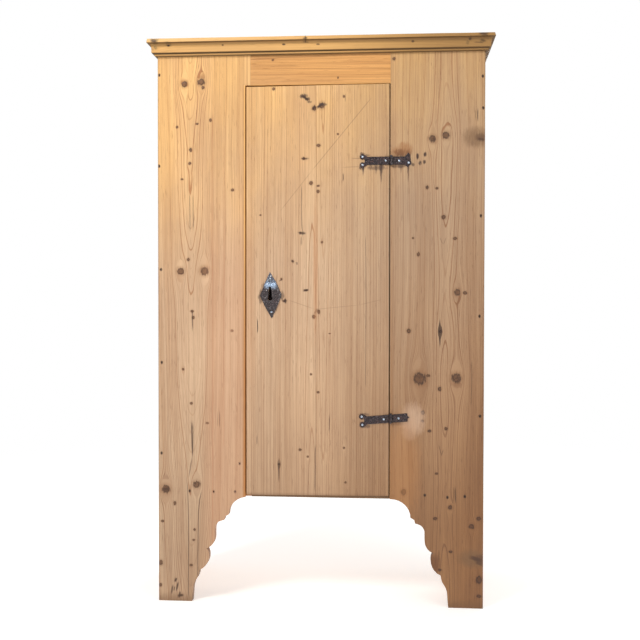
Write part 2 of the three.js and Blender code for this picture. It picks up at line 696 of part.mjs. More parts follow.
function doorLeafSolid(hingeZ, tilt) {
  const half = LEAF_HEIGHT / 2;
  const lobeX = -DOOR_LEAF_LENGTH;
  const strap = strapPlate([
    [-LEAF_ROOT - 2, -half],
    [-LEAF_ROOT - 2, half],
    [lobeX + 16, half],
    [lobeX + 4, LOBE_SPREAD / 2 + LOBE_RADIUS - 1],
    [lobeX + 7, 0],
    [lobeX + 4, 1 - LOBE_SPREAD / 2 - LOBE_RADIUS],
    [lobeX + 16, -half],
  ].reverse(), hingeZ, tilt);
  const root = blockSolid(
    [AXIS_X - ROOT_REACH, AXIS_X - LEAF_ROOT],
    [LEAF_Y, FRONT_Y],
    [hingeZ - DOOR_KNUCKLE_HALF, hingeZ + DOOR_KNUCKLE_HALF],
  );
  const rooms = [
    knuckleRoom(hingeZ, FRAME_KNUCKLE_START, KNUCKLE_HALF),
    knuckleRoom(hingeZ, -KNUCKLE_HALF, -FRAME_KNUCKLE_START),
  ];
  const lobes = [LOBE_SPREAD / 2, -LOBE_SPREAD / 2].map(
    (z) => strapLobe(lobeX, z, LOBE_RADIUS, hingeZ, tilt),
  );
  const flat = cutAll(joinAll([strap, root, ...lobes]), rooms);
  const knuckle = knuckleSolid(hingeZ, -DOOR_KNUCKLE_HALF, DOOR_KNUCKLE_HALF);
  return cutAll(flat.add(knuckle), [pinBore(hingeZ), ...nailHoles(doorNails)]);
}

// ends gives what finishes the strap beyond the bar: an outline, and round lobes.
function frameLeafSolid(hingeZ, tilt, ends) {
  const half = LEAF_HEIGHT / 2;
  const strap = strapPlate([[LEAF_ROOT + 2, -half], ...ends.outline, [LEAF_ROOT + 2, half]], hingeZ, tilt);
  const lobes = ends.lobes.map(([x, z, radius]) => strapLobe(x, z, radius, hingeZ, tilt));
  const roots = [1, -1].map((end) => blockSolid(
    [AXIS_X + LEAF_ROOT, AXIS_X + ROOT_REACH],
    [LEAF_Y, FRONT_Y],
    [FRAME_KNUCKLE_START, LEAF_HEIGHT / 2 - 1].map((z) => hingeZ + end * z).sort((a, b) => a - b),
  ));
  const flat = joinAll([strap, ...lobes, ...roots]).subtract(
    knuckleRoom(hingeZ, -DOOR_KNUCKLE_HALF, DOOR_KNUCKLE_HALF),
  );
  const knuckles = [
    knuckleSolid(hingeZ, FRAME_KNUCKLE_START, KNUCKLE_HALF),
    knuckleSolid(hingeZ, -KNUCKLE_HALF, -FRAME_KNUCKLE_START),
  ];
  return cutAll(joinAll([flat, ...knuckles]), [pinBore(hingeZ), ...nailHoles(frameNails)]);
}

function pinGeometry() {
  const capRadius = PIN_RADIUS + 1.5;
  const top = KNUCKLE_HALF + FIT_GAP;
  const profile = [
    [0, -KNUCKLE_HALF - 2],
    [PIN_RADIUS - 0.8, -KNUCKLE_HALF - 2],
    [PIN_RADIUS, -KNUCKLE_HALF - 1],
    [PIN_RADIUS, top],
    [capRadius, top],
    [capRadius, top + 1.5],
    [capRadius - 1.5, top + 3],
    [0, top + 3.5],
  ];
  const geometry = new THREE.LatheGeometry(profile.map(([r, y]) => new THREE.Vector2(r, y)), 24);
  geometry.applyMatrix4(new THREE.Matrix4().makeBasis(
    new THREE.Vector3(1, 0, 0),
    new THREE.Vector3(0, 0, 1),
    new THREE.Vector3(0, -1, 0),
  ));
  return geometry;
}

function addHinges(frameGroup, doorGroup) {
  const half = LEAF_HEIGHT / 2;
  const upperEnd = UPPER_FRAME_LEAF_LENGTH;
  const lowerEnd = LOWER_FRAME_LEAF_LENGTH;
  const hinges = {
    upper: {
      z: UPPER_HINGE_Z,
      tilt: 0,
      ends: {
        outline: [
          [upperEnd - 15, -half],
          [upperEnd - 5, -half - 5],
          [upperEnd - 1, -half - 9],
          [upperEnd + 2, -half - 4],
          [upperEnd + 8, -half + 2],
          [upperEnd + 7, half - 4],
          [upperEnd + 4, half + 8],
          [upperEnd - 1, half + 12],
          [upperEnd - 5, half + 5],
          [upperEnd - 11, half],
        ],
        lobes: [[upperEnd + 1, 2 - LOBE_RADIUS, LOBE_RADIUS]],
      },
    },
    lower: {
      z: LOWER_HINGE_Z,
      tilt: LOWER_HINGE_TILT,
      ends: {
        outline: [
          [lowerEnd - 2, -half],
          [lowerEnd, -3],
          [lowerEnd + 6, 1],
          [lowerEnd, 4],
          [lowerEnd - 1, half + 1],
        ],
        lobes: [],
      },
    },
  };
  for (const [level, hinge] of Object.entries(hinges)) {
    const frameLeaf = frameLeafSolid(hinge.z, hinge.tilt, hinge.ends);
    addMesh(frameGroup, `${level}_hinge_frame_leaf`, toGeometry(frameLeaf), 'iron');
    const pin = addMesh(frameGroup, `${level}_hinge_pin`, toGeometry(toSolid(pinGeometry())), 'iron');
    pin.position.set(AXIS_X, AXIS_Y, hinge.z);
    addMesh(doorGroup, `${level}_hinge_door_leaf`, toGeometry(doorLeafSolid(hinge.z, hinge.tilt)), 'iron');
  }
}

function addNails(frameGroup, doorGroup) {
  upperNails.door.forEach((nail, index) => addNail(doorGroup, `upper_hinge_door_nail_${index + 1}`, nail));
  lowerNails.door.forEach((nail, index) => addNail(doorGroup, `lower_hinge_door_nail_${index + 1}`, nail));
  upperNails.frame.forEach((nail, index) => addNail(frameGroup, `upper_hinge_frame_nail_${index + 1}`, nail));
  lowerNails.frame.forEach((nail, index) => addNail(frameGroup, `lower_hinge_frame_nail_${index + 1}`, nail));
  escutcheonNails.forEach((nail, index) => addNail(doorGroup, `escutcheon_nail_${index + 1}`, nail));
}

// ---- Lock -----------------------------------------------------------------------------------

// A long lozenge, crowned towards its middle.
function escutcheonSolid() {
  const halfHeight = ESCUTCHEON_HEIGHT / 2;
  const halfWidth = ESCUTCHEON_WIDTH / 2;
  const swell = 3;
  const angle = THREE.MathUtils.degToRad(ESCUTCHEON_TILT);
  const turn = (x, z) => [
    ESCUTCHEON_X + x * Math.cos(angle) - z * Math.sin(angle),
    ESCUTCHEON_Z + x * Math.sin(angle) + z * Math.cos(angle),
  ];
  const outline = polygon([
    turn(0, -halfHeight),
    turn(halfWidth / 2 + swell / 2, -halfHeight / 2),
    turn(halfWidth, 0),
    turn(halfWidth / 2 + swell, halfHeight / 2),
    turn(0, halfHeight),
    turn(-halfWidth / 2 - swell / 3, halfHeight / 2),
    turn(-halfWidth, 0),
    turn(-halfWidth / 2 - swell / 2, -halfHeight / 2),
  ]);
  const rim = plateSolid(outline, FRONT_Y - ESCUTCHEON_RIM, FRONT_Y);
  const crownRoom = plateSolid(outline, FRONT_Y - ESCUTCHEON_CROWN - 1, FRONT_Y - ESCUTCHEON_RIM / 2);
  const crown = new THREE.SphereGeometry(1, 32, 24);
  crown.scale(halfWidth, ESCUTCHEON_CROWN, halfHeight * 0.9);
  crown.translate(ESCUTCHEON_X, FRONT_Y, ESCUTCHEON_Z);
  const whole = rim.add(toSolid(crown).intersect(crownRoom));
  const nailSeats = escutcheonNails.map((nail) => rodAlongY(
    NAIL_HEAD_RADIUS + FIT_GAP,
    nail.x,
    nail.z,
    nail.seat - ESCUTCHEON_CROWN,
    nail.seat,
  ));
  const keyhole = plateSolid(keyholeOutline(), FRONT_Y - ESCUTCHEON_CROWN - 1, FRONT_Y + 1, 6);
  return cutAll(whole, [keyhole, ...nailSeats, ...nailHoles(escutcheonNails)]);
}

function addLock(frameGroup, doorGroup, boltGroup) {
  const boltFront = STILE_BACK_Y + KEEPER_THICKNESS + FIT_GAP;
  const boltBack = boltFront + BOLT_THICKNESS;
  const coverY = boltBack + FIT_GAP;
  const caseLeft = LEFT_EDGE + LOCK_SETBACK;
  const caseRight = caseLeft + LOCK_WIDTH;
  const caseBottom = POST_Z - LOCK_BELOW_POST;
  const caseTop = POST_Z + LOCK_ABOVE_POST;
  const boltZ = POST_Z + BOLT_RISE;
  const boltHalf = BOLT_HEIGHT / 2;

  addMesh(doorGroup, 'escutcheon', toGeometry(escutcheonSolid()), 'iron');

  const shell = blockSolid([caseLeft, caseRight], [DOOR_BACK_Y, coverY + LOCK_WALL], [caseBottom, caseTop]);
  const hollow = blockSolid(
    [caseLeft + LOCK_WALL, caseRight - LOCK_WALL],
    [DOOR_BACK_Y - 1, coverY],
    [caseBottom + LOCK_WALL, caseTop - LOCK_WALL],
  );
  const boltSlot = blockSolid(
    [caseLeft - 1, caseLeft + LOCK_WALL + 1],
    [boltFront - FIT_GAP, boltBack + FIT_GAP],
    [boltZ - boltHalf - FIT_GAP, boltZ + boltHalf + FIT_GAP],
  );
  addMesh(doorGroup, 'lock_case', toGeometry(cutAll(shell, [hollow, boltSlot])), 'iron');

  const post = rodAlongY(POST_RADIUS, POST_X, POST_Z, FRONT_Y + POST_SETBACK, coverY);
  addMesh(doorGroup, 'lock_post', toGeometry(post), 'iron');

  // the bolt: a thick head, and a tail notched underneath for the key
  const headLength = 30;
  const tailHalf = boltHalf - 3;
  const boltLeft = caseLeft + FIT_GAP;
  const boltOutline = polygon([
    [boltLeft, boltZ - boltHalf],
    [boltLeft + headLength, boltZ - boltHalf],
    [boltLeft + headLength, boltZ - tailHalf],
    [boltLeft + headLength + 14, boltZ - tailHalf],
    [boltLeft + headLength + 17, boltZ - tailHalf + 6],
    [boltLeft + headLength + 25, boltZ - tailHalf + 6],
    [boltLeft + headLength + 28, boltZ - tailHalf],
    [boltLeft + BOLT_LENGTH, boltZ - tailHalf],
    [boltLeft + BOLT_LENGTH, boltZ + tailHalf],
    [boltLeft + headLength, boltZ + tailHalf],
    [boltLeft + headLength, boltZ + boltHalf],
    [boltLeft, boltZ + boltHalf],
  ]);
  addMesh(boltGroup, 'lock_bolt', toGeometry(plateSolid(boltOutline, boltFront, boltBack)), 'iron');

  // a bowed leaf spring between the bolt's tail and the roof of the case
  const springLeft = boltLeft + headLength + 4;
  const springRight = caseRight - LOCK_WALL - 4;
  const springMiddle = (springLeft + springRight) / 2;
  const springTop = caseTop - LOCK_WALL - FIT_GAP;
  const springEnd = springTop - SPRING_THICKNESS;
  const springLow = boltZ + tailHalf + FIT_GAP;
  // a quadratic curve's middle lies half-way to its control point
  const bowLow = 2 * springLow - springEnd;
  const bowHigh = 2 * (springLow + SPRING_THICKNESS) - springTop;
  const springOutline = new THREE.Shape();
  springOutline.moveTo(springLeft, springEnd);
  springOutline.quadraticCurveTo(springMiddle, bowLow, springRight, springEnd);
  springOutline.lineTo(springRight, springTop);
  springOutline.quadraticCurveTo(springMiddle, bowHigh, springLeft, springTop);
  springOutline.closePath();
  addMesh(doorGroup, 'lock_spring', toGeometry(plateSolid(springOutline, boltFront, boltBack, 10)), 'iron');

  addBoard(
    frameGroup,
    'lock_keeper',
    [LEFT_EDGE - KEEPER_WIDTH, LEFT_EDGE],
    [STILE_BACK_Y, STILE_BACK_Y + KEEPER_THICKNESS],
    [boltZ - KEEPER_HEIGHT / 2, boltZ + KEEPER_HEIGHT / 2],
    'iron',
  );
}

// ---- The whole armoire ----------------------------------------------------------------------

const armoire = new THREE.Group();
const caseGroup = new THREE.Group();
const doorGroup = new THREE.Group();
const boltGroup = new THREE.Group();
armoire.add(caseGroup, doorGroup);
doorGroup.add(boltGroup);

addFront(caseGroup);
addCase(caseGroup);
addCornice(caseGroup);
addInside(caseGroup);
addDoor(doorGroup);
addHinges(caseGroup, doorGroup);
addNails(caseGroup, doorGroup);
addLock(caseGroup, doorGroup, boltGroup);

export default armoire;
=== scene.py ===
import math
import random

import bmesh
import bpy
from mathutils import Matrix, Vector


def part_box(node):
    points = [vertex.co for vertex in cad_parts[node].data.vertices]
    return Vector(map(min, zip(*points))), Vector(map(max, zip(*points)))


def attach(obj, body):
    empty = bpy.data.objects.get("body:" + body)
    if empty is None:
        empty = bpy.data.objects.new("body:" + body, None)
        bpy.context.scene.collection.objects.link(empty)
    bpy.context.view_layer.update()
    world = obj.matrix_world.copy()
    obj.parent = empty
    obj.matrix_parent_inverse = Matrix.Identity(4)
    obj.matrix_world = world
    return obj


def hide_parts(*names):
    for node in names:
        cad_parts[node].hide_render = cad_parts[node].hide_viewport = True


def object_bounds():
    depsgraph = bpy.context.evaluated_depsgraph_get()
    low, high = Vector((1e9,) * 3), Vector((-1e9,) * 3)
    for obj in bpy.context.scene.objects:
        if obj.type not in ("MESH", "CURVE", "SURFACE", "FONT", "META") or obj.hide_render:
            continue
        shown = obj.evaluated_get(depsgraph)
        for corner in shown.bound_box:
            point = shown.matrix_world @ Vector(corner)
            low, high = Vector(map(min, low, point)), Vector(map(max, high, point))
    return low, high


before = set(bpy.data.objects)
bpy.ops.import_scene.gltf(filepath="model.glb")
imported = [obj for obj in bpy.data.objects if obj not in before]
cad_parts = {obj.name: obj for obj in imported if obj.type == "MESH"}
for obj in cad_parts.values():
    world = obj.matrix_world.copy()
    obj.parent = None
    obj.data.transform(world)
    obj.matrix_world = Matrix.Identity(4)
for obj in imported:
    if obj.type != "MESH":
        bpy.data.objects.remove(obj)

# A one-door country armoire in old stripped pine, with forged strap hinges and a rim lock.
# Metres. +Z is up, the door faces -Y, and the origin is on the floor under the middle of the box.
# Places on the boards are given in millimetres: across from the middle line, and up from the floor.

cad_low, cad_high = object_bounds()
random.seed(7)

MM = 0.001
NEAR = 0.2 * MM                             # how close a corner must lie to be taken for one place
TURN = 2 * math.pi

stile_low, stile_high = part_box("left_stile")
DOOR_LOW, DOOR_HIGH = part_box("door_left_plank")
FACE = stile_low.y                          # the front of the stiles, the rail and the door
LEFT_SIDE = stile_low.x
RIGHT_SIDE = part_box("right_stile")[1].x
REBATE_EDGE = stile_high.x - 17 * MM        # the lock-side stile's edge, as seen past the door
HINGE_STILE_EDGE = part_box("right_stile")[0].x
DOOR_HINGE_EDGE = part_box("door_right_plank")[1].x
RAIL_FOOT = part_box("top_rail")[0].z
BOTTOM_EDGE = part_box("bottom_front_board")[0].y
KEYHOLE_X = DOOR_LOW.x + 76 * MM
KEYHOLE_Z = DOOR_LOW.z + 656 * MM
CORNICE_TOP = cad_high.z
FILLET_FOOT = CORNICE_TOP - 14 * MM
COVE_FOOT = FILLET_FOOT - 16 * MM
BAND_FOOT = COVE_FOOT - 16 * MM
CORNICE_FOOT = BAND_FOOT - 8 * MM


# ---- Shader arithmetic --------------------------------------------------------------------

class Value:
    """One output in a material's node tree, worked on with ordinary arithmetic."""

    def __init__(self, finish, socket):
        self.finish = finish
        self.socket = socket

    def math(self, operation, *others):
        return self.finish.math(operation, self, *others)

    def __add__(self, other):
        return self.math("ADD", other)

    __radd__ = __add__

    def __sub__(self, other):
        return self.math("SUBTRACT", other)

    def __rsub__(self, other):
        return self.finish.math("SUBTRACT", other, self)

    def __mul__(self, other):
        return self.math("MULTIPLY", other)

    __rmul__ = __mul__

    def __truediv__(self, other):
        return self.math("DIVIDE", other)

    def __rtruediv__(self, other):
        return self.finish.math("DIVIDE", other, self)

    def root(self):
        return self.math("SQRT")

    def size(self):
        return self.math("ABSOLUTE")

    def whole(self):
        return self.math("FLOOR")

    def part(self):
        return self.math("FRACT")

    def least(self, other):
        return self.math("MINIMUM", other)

    def most(self, other):
        return self.math("MAXIMUM", other)

    def wave(self):
        return self.math("SINE")


class Finish:
    """A material in the making: its node tree, and the one method that adds nodes to it."""

    def __init__(self, name):
        self.material = bpy.data.materials.new(name)
        self.material.use_nodes = True
        self.tree = self.material.node_tree
        self.shader = self.tree.nodes["Principled BSDF"]
        place = self.add("TexCoord").outputs["Object"]
        split = self.add("SeparateXYZ", sockets={"Vector": place})
        self.x, self.y, self.z = (Value(self, split.outputs[axis]) for axis in "XYZ")

    def add(self, kind, settings=None, sockets=None):
        """Adds one node: its settings first, then the values or links of its sockets."""
        node = self.tree.nodes.new("ShaderNode" + kind)
        for name, value in (settings or {}).items():
            setattr(node, name, value)
        for label, value in (sockets or {}).items():
            self.feed(node.inputs[label], value)
        return node

    def feed(self, socket, value):
        if isinstance(value, Value):
            self.tree.links.new(value.socket, socket)
        elif isinstance(value, bpy.types.NodeSocket):
            self.tree.links.new(value, socket)
        else:
            socket.default_value = value

    def math(self, operation, *values):
        node = self.add("Math", {"operation": operation}, dict(enumerate(values)))
        return Value(self, node.outputs[0])

    def point(self, x, y, z):
        return Value(self, self.add("CombineXYZ", None, {"X": x, "Y": y, "Z": z}).outputs[0])

    def cloud(self, point, scale, detail=2.0, roughness=0.5):
        """Soft noise, from 0 to 1, about 0.5 on average."""
        node = self.add("TexNoise", None, {
            "Vector": point, "Scale": scale, "Detail": detail, "Roughness": roughness,
        })
        return Value(self, node.outputs["Fac"])

    def chance(self, number):
        """A random value from 0 to 1 for each whole number."""
        node = self.add("TexWhiteNoise", {"noise_dimensions": "1D"}, {"W": number})
        return Value(self, node.outputs["Value"])

    def ramp(self, value, low, high):
        """0 below low, 1 above high, and smooth between them."""
        node = self.add("MapRange", {"interpolation_type": "SMOOTHSTEP"}, {
            "Value": value, "From Min": low, "From Max": high,
        })
        return Value(self, node.outputs["Result"])

    def blend(self, share, first, second, how="MIX"):
        """The first colour, going over to the second as share goes from 0 to 1."""
        settings = {"data_type": "RGBA", "blend_type": how, "clamp_factor": True}
        node = self.add("Mix", settings, {0: share, 6: first, 7: second})
        return Value(self, node.outputs[2])

    def grey(self, value):
        """A colour of equal parts, to multiply another by."""
        return Value(self, self.add("CombineColor", None, {0: value, 1: value, 2: value}).outputs[0])

    def raise_by(self, height, distance, strength=1.0):
        bump = self.add("Bump", None, {"Strength": strength, "Distance": distance, "Height": height})
        self.feed(self.shader.inputs["Normal"], bump.outputs[0])

    def colour(self, value):
        self.feed(self.shader.inputs["Base Color"], value)

    def set(self, label, value):
        self.feed(self.shader.inputs[label], value)


def tint(red, green, blue):
    """A paint-chart colour, 0 to 255 a channel, as the light it gives back."""
    def linear(level):
        share = level / 255
        return share / 12.92 if share <= 0.04045 else ((share + 0.055) / 1.055) ** 2.4
    return (linear(red), linear(green), linear(blue), 1.0)


# ---- Pine -----------------------------------------------------------------------------------

HONEY = tint(246, 196, 126)             # early wood at the top of the front, warmed there as painted light
BISQUE = tint(218, 185, 151)            # the same, scrubbed pale
UMBER_PINE = tint(192, 142, 94)         # the same, browner towards the lower right, partly painted shade
LATE_WOOD = tint(190, 124, 62)
LATE_WOOD_PINK = tint(176, 124, 82)
LATE_WOOD_BROWN = tint(134, 84, 46)
WARM_LIGHT = tint(240, 184, 112)        # the rail, the cornice and the pegs
WARM_DARK = tint(222, 158, 88)
WARM_LATE_WOOD = tint(158, 92, 42)
INSIDE_LIGHT = tint(222, 180, 128)      # boards that were never scrubbed
INSIDE_DARK = tint(196, 150, 100)
INSIDE_LATE_WOOD = tint(152, 102, 58)
WIDE_BAND_PINE = tint(232, 190, 150)
# painted shade, multiplied into the front towards its lower right
LOWER_RIGHT_SHADE_BROWN = tint(234, 204, 154)
JOINT_SHADOW = tint(116, 84, 60)
KNOT_HEART = tint(130, 88, 56)
KNOT_RIM = tint(64, 38, 24)
KNOT_HALO = tint(150, 100, 60)
CRACK = tint(48, 28, 16)
IRON_STAIN = tint(66, 44, 34)
RUST_STAIN = tint(150, 92, 40)
DIRT = tint(106, 72, 44)
# painted shade for the strip under the door
UNDER_DOOR_SHADE = tint(84, 58, 36)
RED_THREAD = tint(168, 98, 56)
ROSY_PINE = tint(214, 158, 122)
REBATE_PAINTED_LIGHT = tint(255, 200, 118)          # painted light: bright orange for the rebate wall beside the door and the rail's lower edge
REBATE_PAINTED_LIGHT_LOW = tint(204, 138, 72)
RUBBED_EDGE = tint(178, 118, 62)
PALE_PATCH = tint(212, 180, 154)
FLUSHED_PINE = tint(180, 122, 68)
BARK_STAIN = tint(96, 56, 30)
BRANCH_STAIN = tint(112, 80, 50)
BRANCH_HEART = tint(84, 54, 34)
HINGE_EDGE_DIRT = tint(150, 104, 60)
DOOR_STRIPE = tint(196, 132, 84)
LOCK_EDGE = tint(168, 106, 56)
HANDLED_PINE = tint(190, 128, 78)
RAIL_GRAIN = tint(128, 76, 34)
CORNICE_GOLD = tint(240, 196, 118)
# painted shade on the cornice: in its cove, its quirk and along its foot
CORNICE_COVE_SHADE = tint(122, 84, 36)
QUIRK_SHADE = tint(50, 34, 14)
LIP_SHADOW = tint(74, 50, 20)
CORNICE_FOOT_SHADE = tint(44, 30, 14)
CORNICE_BROWN = tint(146, 106, 52)
CORNICE_SHADE = tint(200, 196, 186)
# painted light on the cornice's fillet
CORNICE_PAINTED_LIGHT = tint(255, 214, 150)

IRON_DARK = tint(34, 27, 31)
IRON_BROWN = tint(100, 80, 82)
IRON_RUST = tint(98, 62, 50)
IRON_HOLLOW = tint(26, 20, 21)
IRON_BARE = tint(190, 186, 192)
# a painted bluish-white reflection, for the nail domes and the lock plate
IRON_PAINTED_REFLECTION = tint(182, 208, 240)


DRIFT = 14 * MM             # how far the grain wanders over a board's length
DEEP_DRIFT = 6 * MM         # how far the heart wanders behind it
RIPPLE = 1.6 * MM           # how far the grain wavers over a hand's width
CROOKED = 1.2 * MM          # how far a crack strays from the grain
GRAIN_RELIEF = 0.5 * MM
GRIME_RISE = 35 * MM        # how high floor dirt has crept up the feet
PIN_SPREAD = 1.45           # a small knot's dark ring, against its heart
NAIL_PIT_STAIN = (4.4, 6.0, 0.95)       # half width, half length, strength


class Board:
    """How one board was cut: its grain direction, the heart it was sawn beside, and its marks."""

    def __init__(self, axes, heart, depth, lean=0.0, sway=None, spacing=3.8, knots=(), pins=(),
                 streaks=(), stains=(), drips=(), nails=(), cracks=(), depth_at=0.0, banding=0.3,
                 patina="front"):
        self.axes = axes            # along the grain, across the board, through it
        self.heart = heart          # across: where the pith runs behind the board, mm
        self.depth = depth          # how far the pith lies behind depth_at, mm
        self.lean = lean            # how fast the pith draws away along the board
        self.sway = sway            # (how far, nearest where, how often): a bend in the tree, mm
        self.spacing = spacing      # a year's growth, mm
        self.knots = list(knots)    # (across, along, radius) in mm, the grain bends round these
        self.pins = list(pins)      # the same for small knots, which the grain ignores
        self.streaks = list(streaks)    # (across, from, to, width): dark grain
        self.stains = list(stains)      # (across, along, half width, half length, strength)
        self.drips = list(drips)        # (across, top, length, half width, strength)
        self.nails = list(nails)        # (across, along): old nails, sunk in dark pits
        self.cracks = list(cracks)      # (across, from, to, width): open cracks
        self.depth_at = depth_at
        self.banding = banding      # how strongly broad dark bands show
        self.patina = patina


def from_spot(f, along, across, spot, stretch=1.0):
    """The place across and along from a spot, each in the spot's own radii."""
    at, height, radius = spot
    side = f.math("MULTIPLY_ADD", across, 1 / (radius * MM), -at / radius)
    rise = f.math("MULTIPLY_ADD", along, stretch / (radius * MM), -stretch * height / radius)
    return side, rise


def knot_field(f, along, across, board):
    """The sideways push the knots give the grain, and the distance to a knot in its radii."""
    push = 0.0
    nearest = 30.0
    for spot in board.knots:
        side, rise = from_spot(f, along, across, spot)
        side_squared = side * side
        rise_squared = rise * rise
        eddy = f.math("MULTIPLY_ADD", rise_squared, 0.14, side_squared)
        bend = (1.9 / eddy).least(1.0) * (spot[2] * MM)
        push = f.math("MULTIPLY_ADD", side, bend, push)
        nearest = (side_squared + rise_squared).least(nearest)
    for number, (at, height, radius) in enumerate(board.pins):
        spot = (at, height, radius * PIN_SPREAD)
        side, rise = from_spot(f, along, across, spot, (0.8, 1.3, 1.0, 1.5)[number % 4])
        nearest = f.math("MULTIPLY_ADD", side, side, rise * rise).least(nearest)
    if isinstance(nearest, float):
        return push, None
    return push, nearest.root()


def most_of(masks):
    """Where any one of these masks is strong."""
    total = masks[0]
    for mask in masks[1:]:
        total = total.most(mask)
    return total


def line_mask(f, along, across, streaks):
    """Where a hairline runs along the grain: (across, from, to, width) for each."""
    lines = []
    for at, low, high, width in streaks:
        off = (across - at * MM).size()
        fade = min(25, (high - low) / 3) * MM
        line = 1 - f.ramp(off, width * 0.25 * MM, width * 0.75 * MM)
        line = line * f.ramp(along, low * MM, low * MM + fade)
        lines.append(line * (1 - f.ramp(along, high * MM - fade, high * MM)))
    return most_of(lines)


def stain_mask(f, along, across, stains, ragged):
    """Soft-edged stains: (across, along, half width, half length, strength) for each."""
    spots = []
    for at, height, half_width, half_length, strength in stains:
        side = f.math("MULTIPLY_ADD", across, 1 / (half_width * MM), -at / half_width)
        rise = f.math("MULTIPLY_ADD", along, 1 / (half_length * MM), -height / half_length)
        reach = f.math("MULTIPLY_ADD", side, side, rise * rise)
        spots.append((1 - f.ramp(reach + ragged, 0.0, 1.5)) * strength)
    return most_of(spots)


def drip_mask(f, across, drips, ragged):
    """Runs of stain that narrow as they go down: (across, top, length, half width, strength)."""
    runs = []
    for at, top, length, half_width, strength in drips:
        down = f.math("MULTIPLY_ADD", f.z, -1 / (length * MM), top / length)
        off = (across - at * MM).size() * (1 / (half_width * MM))
        run = 1 - f.ramp(off + down * 0.9 + ragged * 0.35, 0.25, 1.15)
        runs.append(run * f.ramp(down, -0.15, 0.02) * strength)
    return most_of(runs)


def patina_colours(f, board, mottle):
    """Early wood and late wood, as time has left them over the front or out of sight, with painted warm
    light towards the top of the front and partly painted shade towards its lower right.
    """
    if board.patina == "warm":
        return f.blend(mottle, WARM_LIGHT, WARM_DARK), WARM_LATE_WOOD
    if board.patina == "inside":
        return f.blend(f.ramp(mottle, 0.3, 0.7), INSIDE_LIGHT, INSIDE_DARK), INSIDE_LATE_WOOD
    # on the front: warmer towards the top left as painted light, browner towards the lower right, partly as
    # painted shade
    honey = f.ramp(f.z + mottle * 0.5 - f.x * 0.35, 1.3, 2.15)
    brown = f.ramp(f.x * 0.85 - f.z * 0.6 + mottle * 0.4, -0.55, 0.5)
    early = f.blend(honey, BISQUE, HONEY)
    early = f.blend(brown * 0.85, early, UMBER_PINE)
    late = f.blend(honey, LATE_WOOD_PINK, LATE_WOOD)
    return early, f.blend(brown * 0.8, late, LATE_WOOD_BROWN)


def painted_falloff_shade(f, wood):
    """Painted shade: the front is darker towards the hinge side and the floor, and browner where the two
    meet.
    """
    to_right = f.ramp(f.x, -0.2, 0.42)
    to_floor = 1 - f.ramp(f.z, 0.05, 1.05)
    wood = f.blend(1.0, wood, f.grey((1 - to_right * 0.30) * (1 - to_floor * 0.27)), "MULTIPLY")
    return f.blend(f.ramp(f.x, 0.0, 0.5) * to_floor * 0.7, wood, LOWER_RIGHT_SHADE_BROWN, "MULTIPLY")


def draw_knots(f, wood, knot, wobble, crumble):
    """Brown ringed knots with a darker rim, broken round the edge. Gives their raised hearts too."""
    rough_knot = knot + crumble
    halo = 1 - f.ramp(rough_knot, 0.8, 2.3)
    heart = 1 - f.ramp(rough_knot, 0.84, 1.12)
    rim = f.ramp(rough_knot, 0.45, 0.92) * (1 - f.ramp(rough_knot, 1.0, 1.3))
    rings = (rough_knot * 19.0 + wobble * 8.0).wave() * 0.5 + 0.5
    wood = f.blend(halo * 0.5, wood, KNOT_HALO)
    checked = f.ramp(wobble, 0.05, 0.22)
    wood = f.blend(heart * 0.84, wood, f.blend((rings * 0.55).most(checked), KNOT_HEART, KNOT_RIM))
    wood = f.blend(rim * 0.6, wood, KNOT_RIM)
    return wood, heart * 0.8 - rim * 0.9


def growth_rings(f, board, along, across, through, drift, ripple):
    """The distance from the tree's heart, and how strongly the late wood of a year shows there."""
    off = across - board.heart * MM
    depth = (through - board.depth_at) + board.depth * MM + along * board.lean + drift * DEEP_DRIFT
    if board.sway:
        amount, nearest, period = board.sway
        turn = f.math("MULTIPLY_ADD", along, TURN / (period * MM), math.pi / 2 - TURN * nearest / period)
        depth = depth - turn.wave() * (amount * MM)
    radius = (off * off + depth * depth).root()
    years = radius / (board.spacing * MM) + ripple * 0.3
    season = years.part()
    vigour = f.chance(years.whole())
    # where a ring opens out over the heart, its late wood stays a thin line
    steep = f.ramp(off.size() / radius, 0.03, 0.5)
    late = f.ramp(season, 0.86 - steep * 0.41, 0.94 - steep * 0.08)
    late = late * (1 - f.ramp(season, 0.96 - steep * 0.03, 1.0))
    return radius, late * (0.18 + vigour * vigour)


def grain(f, board, along, through, grain_across, radius, late, mottle):
    """Broad bands, narrow streaks, fibres and short dark ticks: their colour, height and gloss."""
    band = f.cloud(f.point(radius * 40.0, along * 0.6, 3.0), 1.0, 2.0)
    wide_band = f.cloud(f.point(radius * 11.0, along * 0.7, 9.0), 1.0, 1.0)
    streak = f.cloud(f.point(grain_across * 330.0, through * 330.0, along * 3.2), 1.0, 2.0, 0.65)
    fibre = f.cloud(f.point(grain_across * 900.0, through * 900.0, along * 16.0), 1.0, 2.0, 0.6)
    tick = f.cloud(f.point(grain_across * 430.0, through * 430.0, along * 26.0), 1.0, 1.0)
    tick = f.ramp(tick, 0.66, 0.76)

    early, late_colour = patina_colours(f, board, mottle)
    wood = f.blend(late, early, late_colour)
    wood = f.blend(f.ramp(band, 0.45, 0.72) * board.banding, wood, late_colour)
    wood = f.blend(f.ramp(wide_band, 0.45, 0.75) * 0.35, wood, WIDE_BAND_PINE)
    tone = 0.73 + fibre * 0.34 + (streak - 0.5) * 0.72 + (mottle - 0.5) * 0.42 - tick * 0.22
    shade = 1 - tone
    wood = f.blend(1.0, wood, f.point(1 - shade * 0.8, tone, 1 - shade * 1.1), "MULTIPLY")

    height = 0.6 * late + 0.6 * fibre + 0.4 * streak - 0.8 * tick
    gloss = 0.47 + 0.16 * fibre - 0.08 * late + (mottle - 0.5) * 0.2
    return wood, height, gloss


